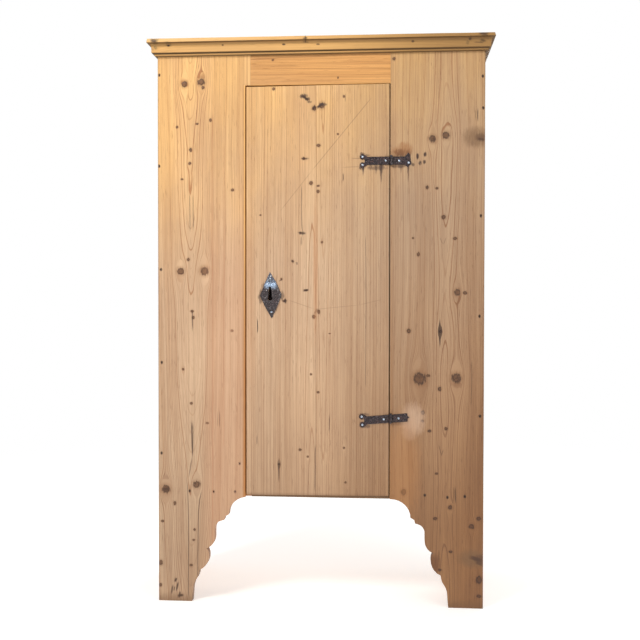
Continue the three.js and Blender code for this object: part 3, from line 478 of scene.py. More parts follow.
def old_marks(f, board, wood, height, along, across, crooked_across, ragged):
    """The stains, runs, cracks and nail pits that the board lists."""
    if board.stains:
        wood = f.blend(stain_mask(f, along, across, board.stains, ragged), wood, IRON_STAIN)
    if board.drips:
        wood = f.blend(drip_mask(f, across, board.drips, ragged), wood, IRON_STAIN)
    cracks = [(at, low - 4, high + 4, width + 1.2) for at, low, high, width in board.cracks]
    dark_lines = board.streaks + cracks
    if dark_lines:
        lines = line_mask(f, along, crooked_across, dark_lines)
        wood = f.blend(lines * 0.75, wood, CRACK)
        height = height - lines * 1.5
    if board.nails:
        pits = [(at, up, *NAIL_PIT_STAIN) for at, up in board.nails]
        wood = f.blend(stain_mask(f, along, across, pits, ragged * 0.5), wood, CRACK)
    return wood, height


def old_pine(name, board, extra=None):
    """Old stripped pine: growth rings cut by the board's face, fibres, knots, wear and dirt."""
    f = Finish(name)
    axis = {"x": f.x, "y": f.y, "z": f.z}
    along, across, through = (axis[letter] for letter in board.axes)

    # the tree was never quite straight
    drift = f.cloud(f.point(along * 1.1, across * 3.0, through * 3.0), 1.0, 1.0) - 0.5
    ripple = f.cloud(f.point(along * 11.0, across * 55.0, through * 55.0), 1.0, 1.0) - 0.5
    wobble = f.cloud(f.point(along * 90.0, across * 110.0, through * 30.0), 1.0, 2.0) - 0.5
    push, knot = knot_field(f, along, across, board)
    grain_across = across + drift * DRIFT + ripple * RIPPLE - push
    radius, late = growth_rings(f, board, along, grain_across, through, drift, ripple)

    mottle = f.cloud(f.point(across * 6.0, through * 6.0, along * 3.0), 1.0, 4.0, 0.6)
    wood, height, gloss = grain(f, board, along, through, grain_across, radius, late, mottle)
    ragged = (f.cloud(f.point(across * 260.0, through * 60.0, along * 60.0), 1.0, 3.0, 0.6) - 0.5) * 3.0
    if knot is not None:
        wood, raised = draw_knots(f, wood, knot, wobble, ragged * 0.5)
        height = height + raised
    # painted shade towards the hinge side and the floor
    if board.patina == "front":
        wood = painted_falloff_shade(f, wood)
    wood, height = old_marks(f, board, wood, height, along, across, grain_across + wobble * CROOKED, ragged)
    if board.patina == "front":
        behind_face = f.ramp(f.y, FACE + 0.4 * MM, FACE + 1.8 * MM)
        wood = f.blend(behind_face * 0.5, wood, JOINT_SHADOW)
    if extra is not None:
        wood = extra(f, wood, ragged)
    grime = (1 - f.ramp(f.z + ragged * 0.006, 0.0, GRIME_RISE)) * 0.55

    f.colour(f.blend(grime, wood, DIRT))
    f.set("Roughness", gloss)
    f.raise_by(height, GRAIN_RELIEF, 0.9)
    return f.material


def along_edge(f, wood, distance, width, strength, colour=DIRT):
    """Dirt and handling along an edge that lies at distance 0."""
    return f.blend((1 - f.ramp(distance, 0.0, width)) * strength, wood, colour)


# ---- Iron -----------------------------------------------------------------------------------

HAMMER_RELIEF = 1.6 * MM


def dome_painted_highlight(f):
    """Where the painted highlight goes: the tops of nail heads that stand proud of a strap or plate."""
    return 1 - f.ramp(f.y, FACE - 5.4 * MM, FACE - 4.5 * MM)


def forged_iron(name, bright=0.25, rust=0.5, shine=None, polish=0.0):
    """Hammered, oiled iron: brown-black, with rust in patches and a little bare metal on top, and where
    shine is given, a painted bluish-white reflection.
    """
    f = Finish(name)
    place = f.point(f.x, f.y, f.z)
    blows = f.cloud(place, 170.0, 1.0)
    scale_spots = f.cloud(place, 420.0, 3.0, 0.65)
    patches = f.cloud(place, 75.0, 3.0, 0.6)
    skin = f.blend(f.ramp(scale_spots, 0.40, 0.70), IRON_DARK, IRON_BROWN)
    skin = f.blend(f.ramp(patches, 0.5, 0.68) * rust, skin, IRON_RUST)
    hollows = f.ramp(f.cloud(place, 260.0, 2.0), 0.44, 0.6)
    skin = f.blend(hollows * 0.7, skin, IRON_HOLLOW)
    bare = f.ramp(blows * 0.6 + scale_spots * 0.5, 0.58, 0.8) * bright
    skin = f.blend(bare, skin, IRON_BARE)
    gloss = 0.50 - bare * 0.24 + (scale_spots - 0.5) * 0.35
    if shine is not None:
        # painted reflection: bluish-white where shine says, on the raised parts of the scale
        painted_glint = shine(f) * f.ramp(scale_spots * 0.7 + blows * 0.5, 0.40, 0.72)
        skin = f.blend(painted_glint, skin, IRON_PAINTED_REFLECTION)
        gloss = gloss - painted_glint * 0.2
    f.colour(skin)
    f.set("Metallic", 0.85)
    f.set("Roughness", gloss)
    f.set("Coat Weight", polish)
    f.set("Coat Roughness", 0.2)
    f.set("Coat IOR", 3.0)
    f.raise_by(scale_spots * 0.9 + blows, HAMMER_RELIEF)
    return f.material


# ---- Modelling ------------------------------------------------------------------------------

def pick(piece):
    """Leaves this piece alone selected and active, in object mode."""
    if bpy.context.mode != "OBJECT":
        bpy.ops.object.mode_set(mode="OBJECT")
    bpy.ops.object.select_all(action="DESELECT")
    piece.select_set(True)
    bpy.context.view_layer.objects.active = piece


def edit(piece):
    pick(piece)
    bpy.ops.object.mode_set(mode="EDIT")


def leave_edit():
    bpy.ops.object.mode_set(mode="OBJECT")


def settle(piece):
    """Moves the piece's place, turn and size into its mesh."""
    pick(piece)
    bpy.ops.object.transform_apply(location=True, rotation=True, scale=True)


def use(piece, kind, **settings):
    """Adds one modifier and applies it."""
    pick(piece)
    modifier = piece.modifiers.new(kind.title(), kind)
    for name, value in settings.items():
        setattr(modifier, name, value)
    bpy.ops.object.modifier_apply(modifier=modifier.name)


def duplicate(piece, name):
    """A copy with its own mesh."""
    pick(piece)
    bpy.ops.object.duplicate(linked=False)
    twin = bpy.context.active_object
    twin.name = name
    return twin


def join(pieces, name):
    """Makes one piece of several."""
    pick(pieces[0])
    for piece in pieces[1:]:
        piece.select_set(True)
    bpy.ops.object.join()
    whole = bpy.context.active_object
    whole.name = name
    return whole


def throw_away(piece):
    bpy.data.objects.remove(piece, do_unlink=True)


def choose(piece, kind, wanted):
    """In edit mode, selects just the parts of one kind, EDGE, FACE or VERT, that wanted says yes to."""
    bpy.ops.mesh.select_mode(type=kind)
    bpy.ops.mesh.select_all(action="DESELECT")
    mesh = bmesh.from_edit_mesh(piece.data)
    for part in {"EDGE": mesh.edges, "FACE": mesh.faces, "VERT": mesh.verts}[kind]:
        if wanted(part):
            part.select_set(True)
    bmesh.update_edit_mesh(piece.data)


def is_corner(edge, least=0.5):
    """A sharp outward edge between two faces."""
    return len(edge.link_faces) == 2 and edge.calc_face_angle_signed() > least


def copy_of(node, name):
    """A merged copy of a frame node, as clean flat faces."""
    piece = bpy.data.objects.new(name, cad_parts[node].data.copy())
    bpy.context.scene.collection.objects.link(piece)
    piece.data.materials.clear()
    edit(piece)
    bpy.ops.mesh.select_all(action="SELECT")
    bpy.ops.mesh.remove_doubles(threshold=0.00001)
    bpy.ops.mesh.customdata_custom_splitnormals_clear()
    bpy.ops.mesh.dissolve_limited(angle_limit=math.radians(0.5))
    leave_edit()
    return piece


def cross_cut(piece, pitch):
    """Cuts a mesh into cells of about this pitch, in edit mode, so that it can be worn."""
    low = Vector([min(v.co[i] for v in piece.data.vertices) for i in range(3)])
    high = Vector([max(v.co[i] for v in piece.data.vertices) for i in range(3)])
    edit(piece)
    for index in range(3):
        count = int((high[index] - low[index]) / pitch)
        normal = Vector((0, 0, 0))
        normal[index] = 1.0
        for cut in range(1, count + 1):
            place = low.copy()
            place[index] = low[index] + (high[index] - low[index]) * cut / (count + 1)
            bpy.ops.mesh.select_all(action="SELECT")
            bpy.ops.mesh.bisect(plane_co=place, plane_no=normal)
    leave_edit()


def dress(piece, body, slot, finish, smooth=35):
    """Gives a finished piece its material, its shading and its body; slot is not used."""
    piece.data.materials.clear()
    piece.data.materials.append(finish)
    pick(piece)
    bpy.ops.object.shade_smooth_by_angle(angle=math.radians(smooth))
    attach(piece, body)


def clouds(name, size):
    """Soft lumps of this size, to wear or beat a surface with."""
    texture = bpy.data.textures.new(name, "CLOUDS")
    texture.noise_scale = size
    texture.noise_depth = 1
    return texture


PLANE_MARKS = clouds("plane_marks", 0.11)
HAMMER_MARKS = clouds("hammer_marks", 0.007)


def nail_pit(across, up, number):
    """A cutter for the ragged hole round a sunk nail, in the front."""
    bpy.ops.object.select_all(action="DESELECT")
    bpy.ops.mesh.primitive_cone_add(
        vertices=7, radius1=1.2 * MM, radius2=2.9 * MM, depth=5 * MM,
        location=(across * MM, FACE, up * MM), rotation=(math.pi / 2, number * 1.3, 0),
    )
    pit = bpy.context.active_object
    bpy.ops.object.transform_apply(location=False, rotation=True, scale=False)
    pit.scale = (1.0, 1.0, 1.45)
    settle(pit)
    return pit


def crack_wedge(across, low, high, width):
    """A cutter for an open crack along the grain, in the front: wide in the middle, fine at both ends."""
    bpy.ops.object.select_all(action="DESELECT")
    bpy.ops.mesh.primitive_cylinder_add(
        vertices=8, radius=0.5, depth=8 * MM, location=(across * MM, FACE, (low + high) / 2 * MM),
        rotation=(math.pi / 2, 0, 0),
    )
    wedge = bpy.context.active_object
    bpy.ops.object.transform_apply(location=False, rotation=True, scale=False)
    wedge.scale = (width * MM, 1.0, (high - low) * MM)
    settle(wedge)
    edit(wedge)
    bpy.ops.mesh.select_all(action="SELECT")
    bpy.ops.mesh.bisect(
        plane_co=(0, 0, (low + high) / 2 * MM), plane_no=(0, 0, 1))
    choose(wedge, "VERT", lambda corner: corner.co.y > FACE)
    bpy.ops.transform.resize(value=(0.3, 1, 0.9))
    leave_edit()
    return wedge


def cut_marks(piece, board):
    """Cuts a board's nail pits and open cracks into its face."""
    cutters = [nail_pit(across, up, number) for number, (across, up) in enumerate(board.nails)]
    cutters += [crack_wedge(*crack) for crack in board.cracks]
    if not cutters:
        return
    cutter = join(cutters, piece.name + "_cutter")
    use(piece, "BOOLEAN", operation="DIFFERENCE", object=cutter, solver="EXACT")
    throw_away(cutter)


def worn_board(node, name, body, slot, finish, board=None, soft=1.2 * MM, wave=0.7 * MM, pitch=60 * MM,
               shape=None):
    """A board as the frame has it, with rubbed edges, a hand-planed face and its old marks."""
    piece = copy_of(node, name)
    if shape is not None:
        shape(piece)
    edit(piece)
    choose(piece, "EDGE", is_corner)
    bpy.ops.mesh.bevel(offset=soft, segments=2, affect="EDGES", clamp_overlap=True)
    leave_edit()
    cross_cut(piece, pitch)
    use(piece, "DISPLACE", texture=PLANE_MARKS, texture_coords="GLOBAL", strength=wave, mid_level=0.5)
    if board is not None:
        cut_marks(piece, board)
    dress(piece, body, slot, finish)
    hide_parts(node)


# ---- The front boards -----------------------------------------------------------------------

LEFT_STILE = Board(
    "zxy", heart=-419, depth=94, lean=-0.031, sway=(2, 1270, 540), spacing=3.2, depth_at=FACE,
    knots=[
        (-439, 1687, 9), (-384, 1694, 10), (-453, 1081, 10), (-374, 1081, 12), (-401, 384, 10),
        (-503, 367, 12), (-445, 761, 3.5), (-422, 1431, 4), (-237, 1096, 4),
    ],
    pins=[
        (-419, 1475, 3), (-282, 1344, 3.5), (-463, 1549, 2.5), (-398, 1559, 3), (-353, 1570, 2.5),
        (-447, 1380, 2.5), (-427, 1119, 3), (-415, 951, 3.5), (-411, 930, 2.5), (-284, 888, 3),
        (-418, 650, 2.5), (-365, 586, 3), (-473, 322, 3), (-515, 262, 3), (-408, 236, 2.5),
        (-411, 202, 3), (-521, 125, 4), (-420, 119, 3), (-523, 51, 3.5), (-235, 759, 3.5),
        (-378, 1676, 3),
    ],
    streaks=[
        (-430, 3, 400, 1.8), (-399, 3, 372, 1.8),
        (-421, 1202, 1341, 1.6), (-411, 1208, 1335, 1.6),
    ],
    nails=[
        (-424, 363), (-345, 362), (-274, 363), (-259, 455), (-522, 1718), (-523, 1423), (-518, 1087),
        (-516, 783), (-517, 486),
    ],
    cracks=[(-417, 471, 592, 1.2), (-331, 570, 629, 1.1), (-416, 884, 958, 1.1)],
)
RIGHT_STILE = Board(
    "zxy", heart=402, depth=52, lean=0.0, sway=(3, 1398, 690), spacing=3.2, depth_at=FACE,
    knots=[
        (362, 1502, 10), (404, 1512, 10), (323, 737, 17), (440, 739, 14), (442, 1012, 9),
        (388, 888, 4.5), (422, 324, 6), (490, 264, 7),
    ],
    pins=[
        (345, 1347, 3), (376, 1344, 3), (398, 1252, 4), (434, 1184, 4), (318, 1134, 3),
        (466, 1011, 4), (288, 889, 4), (350, 746, 4), (387, 704, 3.5), (355, 569, 4),
        (408, 577, 3), (379, 432, 3), (273, 371, 5), (375, 287, 4), (513, 290, 4),
        (424, 181, 4), (514, 93, 6), (514, 40, 4), (239, 1757, 3), (389, 122, 3.5),
        (334, 628, 3.5), (333, 601, 3.5), (301, 1186, 2),
    ],
    streaks=[(475, 640, 800, 1.2), (385, 140, 190, 1.4)],
    nails=[
        (341, 362), (413, 356), (468, 360), (519, 1697), (521, 1597), (515, 1256), (512, 937),
        (515, 618),
    ],
    cracks=[(387, 836, 929, 2.0), (497, 1554, 1596, 1.6), (432, 334, 393, 1.6)],
)
DOOR_LEFT_BOARD = Board(
    "zxy", heart=-24, depth=42, lean=0.008, spacing=2.6, depth_at=FACE, banding=0.2,
    knots=[(-59, 1204, 3), (-86, 1113, 2.5), (-26, 748, 3), (-36, 481, 3), (-129, 455, 3)],
    pins=[
        (-16, 1603, 4), (-50, 1443, 3.5), (-27, 1364, 3.5), (-42, 1019, 2.5), (-17, 934, 3),
        (-61, 503, 3), (-147, 1668, 3), (-112, 985, 3.5), (-122, 1055, 2), (-190, 1262, 2),
    ],
    streaks=[(-57, 1181, 1364, 1.5), (-203, 515, 550, 1.6), (-13, 363, 525, 2.0)],
    stains=[
        (-50, 1643, 13, 8, 0.9), (-40, 1633, 10, 6, 0.85), (-32, 1624, 8, 5, 0.7), (-55, 1203, 12, 5, 0.6),
        (-46, 1443, 12, 4, 0.5),
    ],
    cracks=[(-201, 879, 928, 1.7), (-130, 395, 476, 1.4)],
)
DOOR_RIGHT_BOARD = Board(
    "zxy", heart=14, depth=40, lean=-0.008, spacing=2.6, depth_at=FACE, banding=0.2,
    knots=[(9, 1174, 3), (86, 399, 3), (81, 511, 3)],
    pins=[
        (8, 1612, 5), (-3, 1484, 4), (-3, 1337, 3), (-3, 1355, 3), (-1, 950, 3),
        (-3, 690, 3), (60, 1520, 2), (34, 880, 2), (79, 1640, 2),
    ],
    streaks=[(79, 1366, 1398, 3.0), (150, 700, 1200, 1.0), (34, 552, 626, 2.2), (86, 1620, 1650, 1.4)],
    stains=[(14, 1615, 11, 6, 0.85)],
)
TOP_RAIL = Board(
    "xzy", heart=1640, depth=60, lean=0.012, spacing=2.4, depth_at=FACE, banding=0.12, patina="warm",
    pins=[(1760, -150, 2), (1700, 60, 2)],
)

# rust and oil have run into the wood under and round the straps and the lock plate
DOOR_RIGHT_BOARD.stains += [
    (137, 1412, 10, 8, 0.85), (139, 1456, 9, 5, 0.7), (150, 1451, 14, 4, 0.5), (186, 1410, 34, 7, 0.6),
    (150, 581, 22, 6, 0.6), (148, 620, 18, 5, 0.5), (218, 1433, 12, 18, 0.5), (216, 606, 12, 16, 0.5),
]
DOOR_RIGHT_BOARD.drips += [
    (141, 1412, 26, 7, 0.8), (199, 1418, 54, 9, 0.95), (182, 1418, 30, 10, 0.6), (165, 1418, 22, 6, 0.5),
]
RIGHT_STILE.stains += [
    (262, 1458, 24, 14, 0.85), (282, 1452, 14, 18, 0.8), (256, 1416, 30, 7, 0.7), (246, 1434, 16, 20, 0.6),
    (314, 1446, 4.5, 9, 1.0), (338, 1451, 5, 8, 1.0), (322, 1424, 5, 8, 0.9), (336, 1428, 5, 7, 0.9),
    (300, 1420, 6, 6, 0.7), (262, 592, 30, 7, 0.5), (286, 606, 9, 14, 0.5),
]
RIGHT_STILE.drips += [(285, 1428, 66, 6, 0.9), (262, 1416, 22, 9, 0.5)]
DOOR_LEFT_BOARD.stains += [
    (-190, 1000, 8, 22, 0.7), (-120, 1003, 7, 16, 0.6), (-180, 1030, 8, 14, 0.4), (-118, 1000, 6, 8, 0.6),
    (-112, 985, 7, 5, 0.9),
]


def smear(f, wood, start, end, width, strength, colour, ragged):
    """A line drawn on the front from start to end, each (across, up) in mm, fading at its ends."""
    run = Vector(end) - Vector(start)
    length = run.length
    way = run / length
    x = f.x - start[0] * MM
    z = f.z - start[1] * MM
    off = (x * way.y - z * way.x).size() + ragged * (width * 0.18 * MM)
    on = x * way.x + z * way.y
    fade = min(30, length / 3) * MM
    line = (1 - f.ramp(off, width * 0.3 * MM, width * MM)) * f.ramp(on, 0.0, fade)
    line = line * (1 - f.ramp(on, length * MM - fade, length * MM)) * strength
    return f.blend(line, wood, colour)


def smears(f, wood, lines, colour, ragged=0.0):
    """Several smears of one colour: (start, end, width, strength) for each."""
    for line in lines:
        wood = smear(f, wood, *line, colour, ragged)
    return wood


LEFT_RED_THREADS = [((-348, 60), (-346, 1600), 2.4, 0.4), ((-311, 500), (-309, 1500), 2.4, 0.3)]
LEFT_SCUFFS = [
    ((-474, 60), (-468, 78), 5, 0.9), ((-486, 18), (-480, 56), 4, 0.8), ((-470, 28), (-462, 66), 4, 0.9),
    ((-468, 16), (-442, 20), 6, 0.95), ((-462, 6), (-456, 34), 5, 0.8), ((-478, 30), (-474, 50), 3, 0.7),
    ((-516, 366), (-490, 368), 8, 0.75), ((-418, 600), (-415, 480), 3, 0.7),
    ((-415, 480), (-428, 400), 3, 0.5),
]
RIGHT_STAINS = [        # (across, up, half width, half length, strength) and their colour
    ([(302, 604, 40, 54, 0.5), (292, 566, 26, 30, 0.3)], PALE_PATCH),
    ([(252, 1462, 26, 16, 0.5), (274, 1468, 26, 24, 0.6), (266, 1484, 9, 9, 0.5)], RUST_STAIN),
    ([(268, 440, 60, 190, 0.35)], FLUSHED_PINE),
    ([(373, 140, 18, 34, 0.7)], BARK_STAIN),
    ([(496, 160, 52, 30, 0.8), (502, 1504, 46, 34, 0.65)], BRANCH_STAIN),
    ([(518, 160, 22, 15, 0.7), (516, 1504, 22, 14, 0.6)], BRANCH_HEART),
]
RIGHT_SCUFFS = [
    ((478, 168), (530, 152), 9, 0.7), ((500, 150), (530, 140), 7, 0.6),
    ((500, 1500), (530, 1496), 6, 0.6), ((438, 742), (450, 736), 6, 0.4),
    ((300, 745), (345, 740), 5, 0.3), ((360, 1506), (370, 1496), 6, 0.5),
    ((400, 512), (392, 486), 2, 0.5), ((384, 528), (394, 488), 2, 0.5),
    ((385, 1190), (396, 1164), 2, 0.35), ((407, 1190), (397, 1164), 2, 0.35),
]
DOOR_SCRIBES = [
    ((172, 1640), (-27, 1400), 2, 0.34), ((-20, 1408), (-130, 1270), 2, 0.24),
    ((140, 1441), (100, 1442), 2, 0.4), ((140, 1416), (66, 1413), 2, 0.3),
    ((-107, 990), (-10, 957), 2, 0.24), ((-20, 957), (132, 972), 2, 0.2), ((120, 970), (212, 992), 2, 0.18),
]
DOOR_SCUFFS = [
    ((-62, 1650), (-32, 1626), 6, 0.95), ((-24, 1596), (-12, 1612), 6, 0.9),
    ((-12, 1602), (16, 1621), 6, 0.95), ((-54, 1018), (-31, 1021), 5, 1.0),
    ((-110, 996), (-109, 974), 4, 0.95), ((-117, 1057), (-132, 1047), 2, 0.7),
    ((-72, 1207), (-42, 1201), 3, 0.7), ((-62, 1443), (-34, 1442), 3, 0.7),
    ((-92, 1118), (-80, 1108), 5, 0.6), ((-74, 1112), (-70, 1100), 4, 0.5),
    ((-57, 1196), (-58, 1160), 4, 0.35), ((-17, 940), (-4, 962), 5, 0.5),
]
RAIL_THREADS = [
    ((-236, 1764), (-120, 1766), 1.8, 0.6), ((-150, 1768), (40, 1767), 1.8, 0.45),
    ((-236, 1742), (-60, 1741), 1.8, 0.35), ((60, 1752), (220, 1750), 1.8, 0.3),
    ((-130, 1692), (90, 1690), 1.8, 0.3),
]


def left_stile_wear(f, wood, ragged):
    """The rebate wall beside the door, painted bright orange as painted light, the worn edge beside it, red
    threads of grain, scuffs on the foot.
    """
    wood = smears(f, wood, LEFT_RED_THREADS, RED_THREAD, ragged)
    rosy = f.ramp(f.x, -0.40, -0.33) * (1 - f.ramp(f.z, 0.9, 1.5)) * 0.3
    wood = f.blend(rosy, wood, ROSY_PINE)
    # painted light: the rebate wall behind the door's edge in bright orange, dimmer lower down
    under_rail = 1 - f.ramp(f.z, RAIL_FOOT - 0.5 * MM, RAIL_FOOT + 0.5 * MM)
    rebate = f.ramp(f.x, REBATE_EDGE - 5 * MM, REBATE_EDGE - 3 * MM) * under_rail * 0.9
    wood = f.blend(rebate, wood, f.blend(f.ramp(f.z, 0.65, 1.25), REBATE_PAINTED_LIGHT_LOW, REBATE_PAINTED_LIGHT))
    band = f.ramp(f.x + ragged * 0.0008, REBATE_EDGE - 11.5 * MM, REBATE_EDGE - 6.5 * MM)
    band = band * (1 - f.ramp(f.z, RAIL_FOOT - 20 * MM, RAIL_FOOT + 10 * MM))
    wood = f.blend(band * (0.3 + 0.4 * (1 - f.ramp(f.z, 0.6, 1.3))), wood, RUBBED_EDGE)
    wood = along_edge(f, wood, f.x - LEFT_SIDE, 0.005, 0.35)
    return smears(f, wood, LEFT_SCUFFS, KNOT_RIM, ragged)


def right_stile_wear(f, wood, ragged):
    """A pale patch by the lower hinge, rust by the upper one, branch stains and darker edges."""
    for stains, colour in RIGHT_STAINS:
        wood = f.blend(stain_mask(f, f.z, f.x, stains, ragged * 0.45), wood, colour)
    wood = smears(f, wood, RIGHT_SCUFFS, KNOT_RIM, ragged)
    beside_door = 1 - f.ramp(f.x, HINGE_STILE_EDGE + 1 * MM, HINGE_STILE_EDGE + 15 * MM)
    beside_door = beside_door * (0.25 + 0.2 * (1 - f.ramp(f.z, 0.5, 1.1)))
    wood = f.blend(beside_door, wood, HINGE_EDGE_DIRT)
    return along_edge(f, wood, RIGHT_SIDE - f.x, 0.007, 0.4)


def door_wear(f, wood, ragged):
    """Scribe lines, streaked knots, old stripes in the grain, handling dirt, dark edges and painted shade
    in the keyhole.
    """
    wood = smears(f, wood, DOOR_SCRIBES, DIRT)
    wood = smears(f, wood, DOOR_SCUFFS, KNOT_RIM, ragged)
    stripe = stain_mask(f, f.z, f.x, [(-12, 1090, 8, 250, 0.4)], ragged * 0.3)
    wood = f.blend(stripe, wood, DOOR_STRIPE)
    wood = along_edge(f, wood, DOOR_HINGE_EDGE - f.x, 0.004, 0.4)
    wood = along_edge(f, wood, f.x - DOOR_LOW.x + 0.0015, 0.0022, 0.5, LOCK_EDGE)
    wood = f.blend((1 - f.ramp(f.z - DOOR_LOW.z, 0.0, 0.012)) * 0.35, wood, DIRT)
    # painted shade: the keyhole's inner walls near-black
    keyhole_painted_shade = f.ramp(f.y, FACE + 0.5 * MM, FACE + 1.5 * MM)
    keyhole_painted_shade = keyhole_painted_shade * (1 - f.ramp((f.x - KEYHOLE_X).size(), 10 * MM, 12 * MM))
    keyhole_painted_shade = keyhole_painted_shade * (1 - f.ramp((f.z - KEYHOLE_Z).size(), 40 * MM, 50 * MM))
    wood = f.blend(keyhole_painted_shade * 0.93, wood, CRACK)
    by_lock = 1 - f.ramp((f.z - KEYHOLE_Z + 10 * MM).size(), 100 * MM, 350 * MM)
    handled = (1 - f.ramp(f.x - DOOR_LOW.x, 0.0, 40 * MM)) * by_lock
    return f.blend(handled * 0.25, wood, HANDLED_PINE)


def rail_wear(f, wood, ragged):
    """Warm wood with painted shade along its top under the cornice, thin dark grain, and its lower edge
    painted bright orange as painted light.
    """
    wood = smears(f, wood, RAIL_THREADS, RAIL_GRAIN, ragged)
    # painted shade under the cornice, in the dirt colour
    cornice_painted_shade = f.ramp(f.z + ragged * 0.003, CORNICE_FOOT - 11 * MM, CORNICE_FOOT + 1 * MM)
    wood = f.blend(cornice_painted_shade * 0.4, wood, DIRT)
    # painted light: the rail's lower edge over the door, bright orange
    rebate = (1 - f.ramp(f.z, RAIL_FOOT + 0.2 * MM, RAIL_FOOT + 1.5 * MM)) * 0.8
    return f.blend(rebate, wood, REBATE_PAINTED_LIGHT)


def worn_arris(piece):
    """Rubs down the stile's edge beside the lock, where hands have opened the door."""
    edit(piece)
    choose(piece, "EDGE", lambda edge: all(
        abs(corner.co.x - REBATE_EDGE) < NEAR and abs(corner.co.y - FACE) < NEAR for corner in edge.verts))
    bpy.ops.mesh.bevel(offset=3.8 * MM, segments=3, affect="EDGES")
    leave_edit()


def swollen_plank(piece):
    """The planks have swollen a little, up to the rail and across towards the lock-side stile."""
    edit(piece)
    choose(piece, "VERT", lambda corner: corner.co.z > DOOR_HIGH.z - 10 * MM)
    bpy.ops.transform.translate(value=(0, 0, 2 * MM))
    choose(piece, "VERT", lambda corner: corner.co.x < DOOR_LOW.x + NEAR)
    bpy.ops.transform.translate(value=(-1.5 * MM, 0, 0))
    leave_edit()


def build_front():
    """The stiles, the rail and the door's planks."""
    for node, body, slot, board, wear, soft, shape in [
        ("left_stile", "case", "stile_pine", LEFT_STILE, left_stile_wear, 1.8, worn_arris),
        ("right_stile", "case", "stile_pine", RIGHT_STILE, right_stile_wear, 1.8, None),
        ("top_rail", "case", "rail_pine", TOP_RAIL, rail_wear, 0.7, None),
        ("door_left_plank", "door", "door_pine", DOOR_LEFT_BOARD, door_wear, 1.4, swollen_plank),
        ("door_right_plank", "door", "door_pine", DOOR_RIGHT_BOARD, door_wear, 1.4, swollen_plank),
    ]:
        finish = old_pine("pine_" + node, board, wear)
        worn_board(node, node + "_board", body, slot, finish, board, soft * MM, shape=shape)


# ---- The other boards -----------------------------------------------------------------------

def plain_board(node, axes, number, patina="inside"):
    """A board out of the main view: its own heart, lean and knots, drawn by its number."""
    low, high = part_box(node)
    along, across, through = ("xyz".index(letter) for letter in axes)
    draw = random.Random(number)
    start, end = low[across] / MM, high[across] / MM
    first, last = low[along] / MM, high[along] / MM
    count = max(1, round((last - first) * (end - start) / 90000))
    knots = [
        (draw.uniform(start + 8, end - 8), draw.uniform(first, last), draw.uniform(5, 11))
        for _ in range(min(count, 4))
    ]
    pins = [
        (draw.uniform(start, end), draw.uniform(first, last), draw.uniform(2, 4))
        for _ in range(min(count, 5))
    ]
    return Board(
        axes, heart=draw.uniform(start - 30, end + 30), depth=draw.uniform(40, 90),
        lean=draw.uniform(-0.03, 0.03), spacing=draw.uniform(3.0, 4.4), knots=knots, pins=pins,
        depth_at=low[through], patina=patina,
    )


def under_door_painted_shade(f, wood, ragged):
    """Painted shade along the front edge under the door."""
    return along_edge(f, wood, f.y - BOTTOM_EDGE, 0.008, 0.75, UNDER_DOOR_SHADE)


def build_case():
    """Sides, back, top, bottom, cleats, shelf and peg rail, each board with its own grain."""
    boards = [(side + "_side_" + end + "_board", "zyx", "outside", 1.5)
              for side in ("left", "right") for end in ("front", "rear")]
    boards += [("back_board_%d" % number, "zxy", "inside", 1.2) for number in range(1, 6)]
    boards += [("top_" + end + "_board", "xyz", "inside", 1.2) for end in ("front", "rear")]
    boards += [("bottom_" + end + "_board", "xyz", "inside", 1.0) for end in ("front", "rear")]
    boards += [("upper_shelf", "xyz", "inside", 1.5), ("peg_rail", "xzy", "inside", 1.5)]
    boards += [(side + "_" + kind + "_cleat", "yzx", "inside", 1.5)
               for side in ("left", "right") for kind in ("bottom", "shelf")]
    for number, (node, axes, patina, soft) in enumerate(boards):
        slot = "stile_pine" if patina == "outside" else "inside_pine"
        # the bottom board's front edge gets painted shade
        wear = under_door_painted_shade if node == "bottom_front_board" else None
        finish = old_pine("pine_" + node, plain_board(node, axes, 20 + number, patina), wear)
        worn_board(node, node + "_board", "case", slot, finish, None, soft * MM, 1 * MM, 90 * MM)


def build_ledges():
    """The two ledges let into the back of the door."""
    for number, node in enumerate(("door_upper_ledge", "door_lower_ledge")):
        finish = old_pine("pine_" + node, plain_board(node, "xzy", 60 + number))
        worn_board(node, node + "_batten", "door", "door_pine", finish, None, 1.2 * MM, 0.5 * MM)


def build_pegs():
    """Whittled coat pegs with worn knobs."""
    finish = old_pine("pine_pegs", Board("yxz", heart=0, depth=60, depth_at=1.4, patina="warm"))
    whittling = clouds("whittling", 0.012)
    for number in range(1, 5):
        node = "coat_peg_%d" % number
        peg = copy_of(node, node + "_whittled")
        cross_cut(peg, 6 * MM)
        use(peg, "DISPLACE", texture=whittling, texture_coords="GLOBAL", strength=0.9 * MM, mid_level=0.8)
        dress(peg, "case", "inside_pine", finish)
        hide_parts(node)


# ---- The cornice ----------------------------------------------------------------------------

CORNICE = Board(
    "xzy", heart=1765, depth=55, lean=0.006, spacing=3.4, depth_at=-0.24, patina="warm",
    knots=[(1822, -528, 9), (1823, 522, 9), (1819, -43, 5), (1803, -530, 5), (1803, 515, 6)],
    pins=[(1812, -487, 4), (1799, 470, 3.5), (1810, 477, 3)],
)


CORNICE_SCUFFS = [
    ((-548, 1824), (-518, 1821), 6, 0.8), ((-545, 1819), (-522, 1818), 3, 0.8),
    ((500, 1826), (534, 1820), 7, 0.75), ((-52, 1818), (-34, 1822), 4, 0.6),
    ((508, 1806), (530, 1802), 4, 0.5), ((486, 1800), (520, 1798), 3, 0.5),
    ((-545, 1800), (-535, 1796), 5, 0.35), ((-54, 1811), (-30, 1809), 3, 0.45),
]
CORNICE_KNOTS = [       # (across, up, half width, half length, strength)
    (-487, 1808, 5, 3.4, 1.0), (-310, 1806, 4, 3, 0.8), (-113, 1805, 6, 3.2, 0.9),
    (-3, 1803, 6, 3, 0.8), (298, 1806, 5, 4, 0.8), (477, 1810, 5, 3.4, 0.8),
]


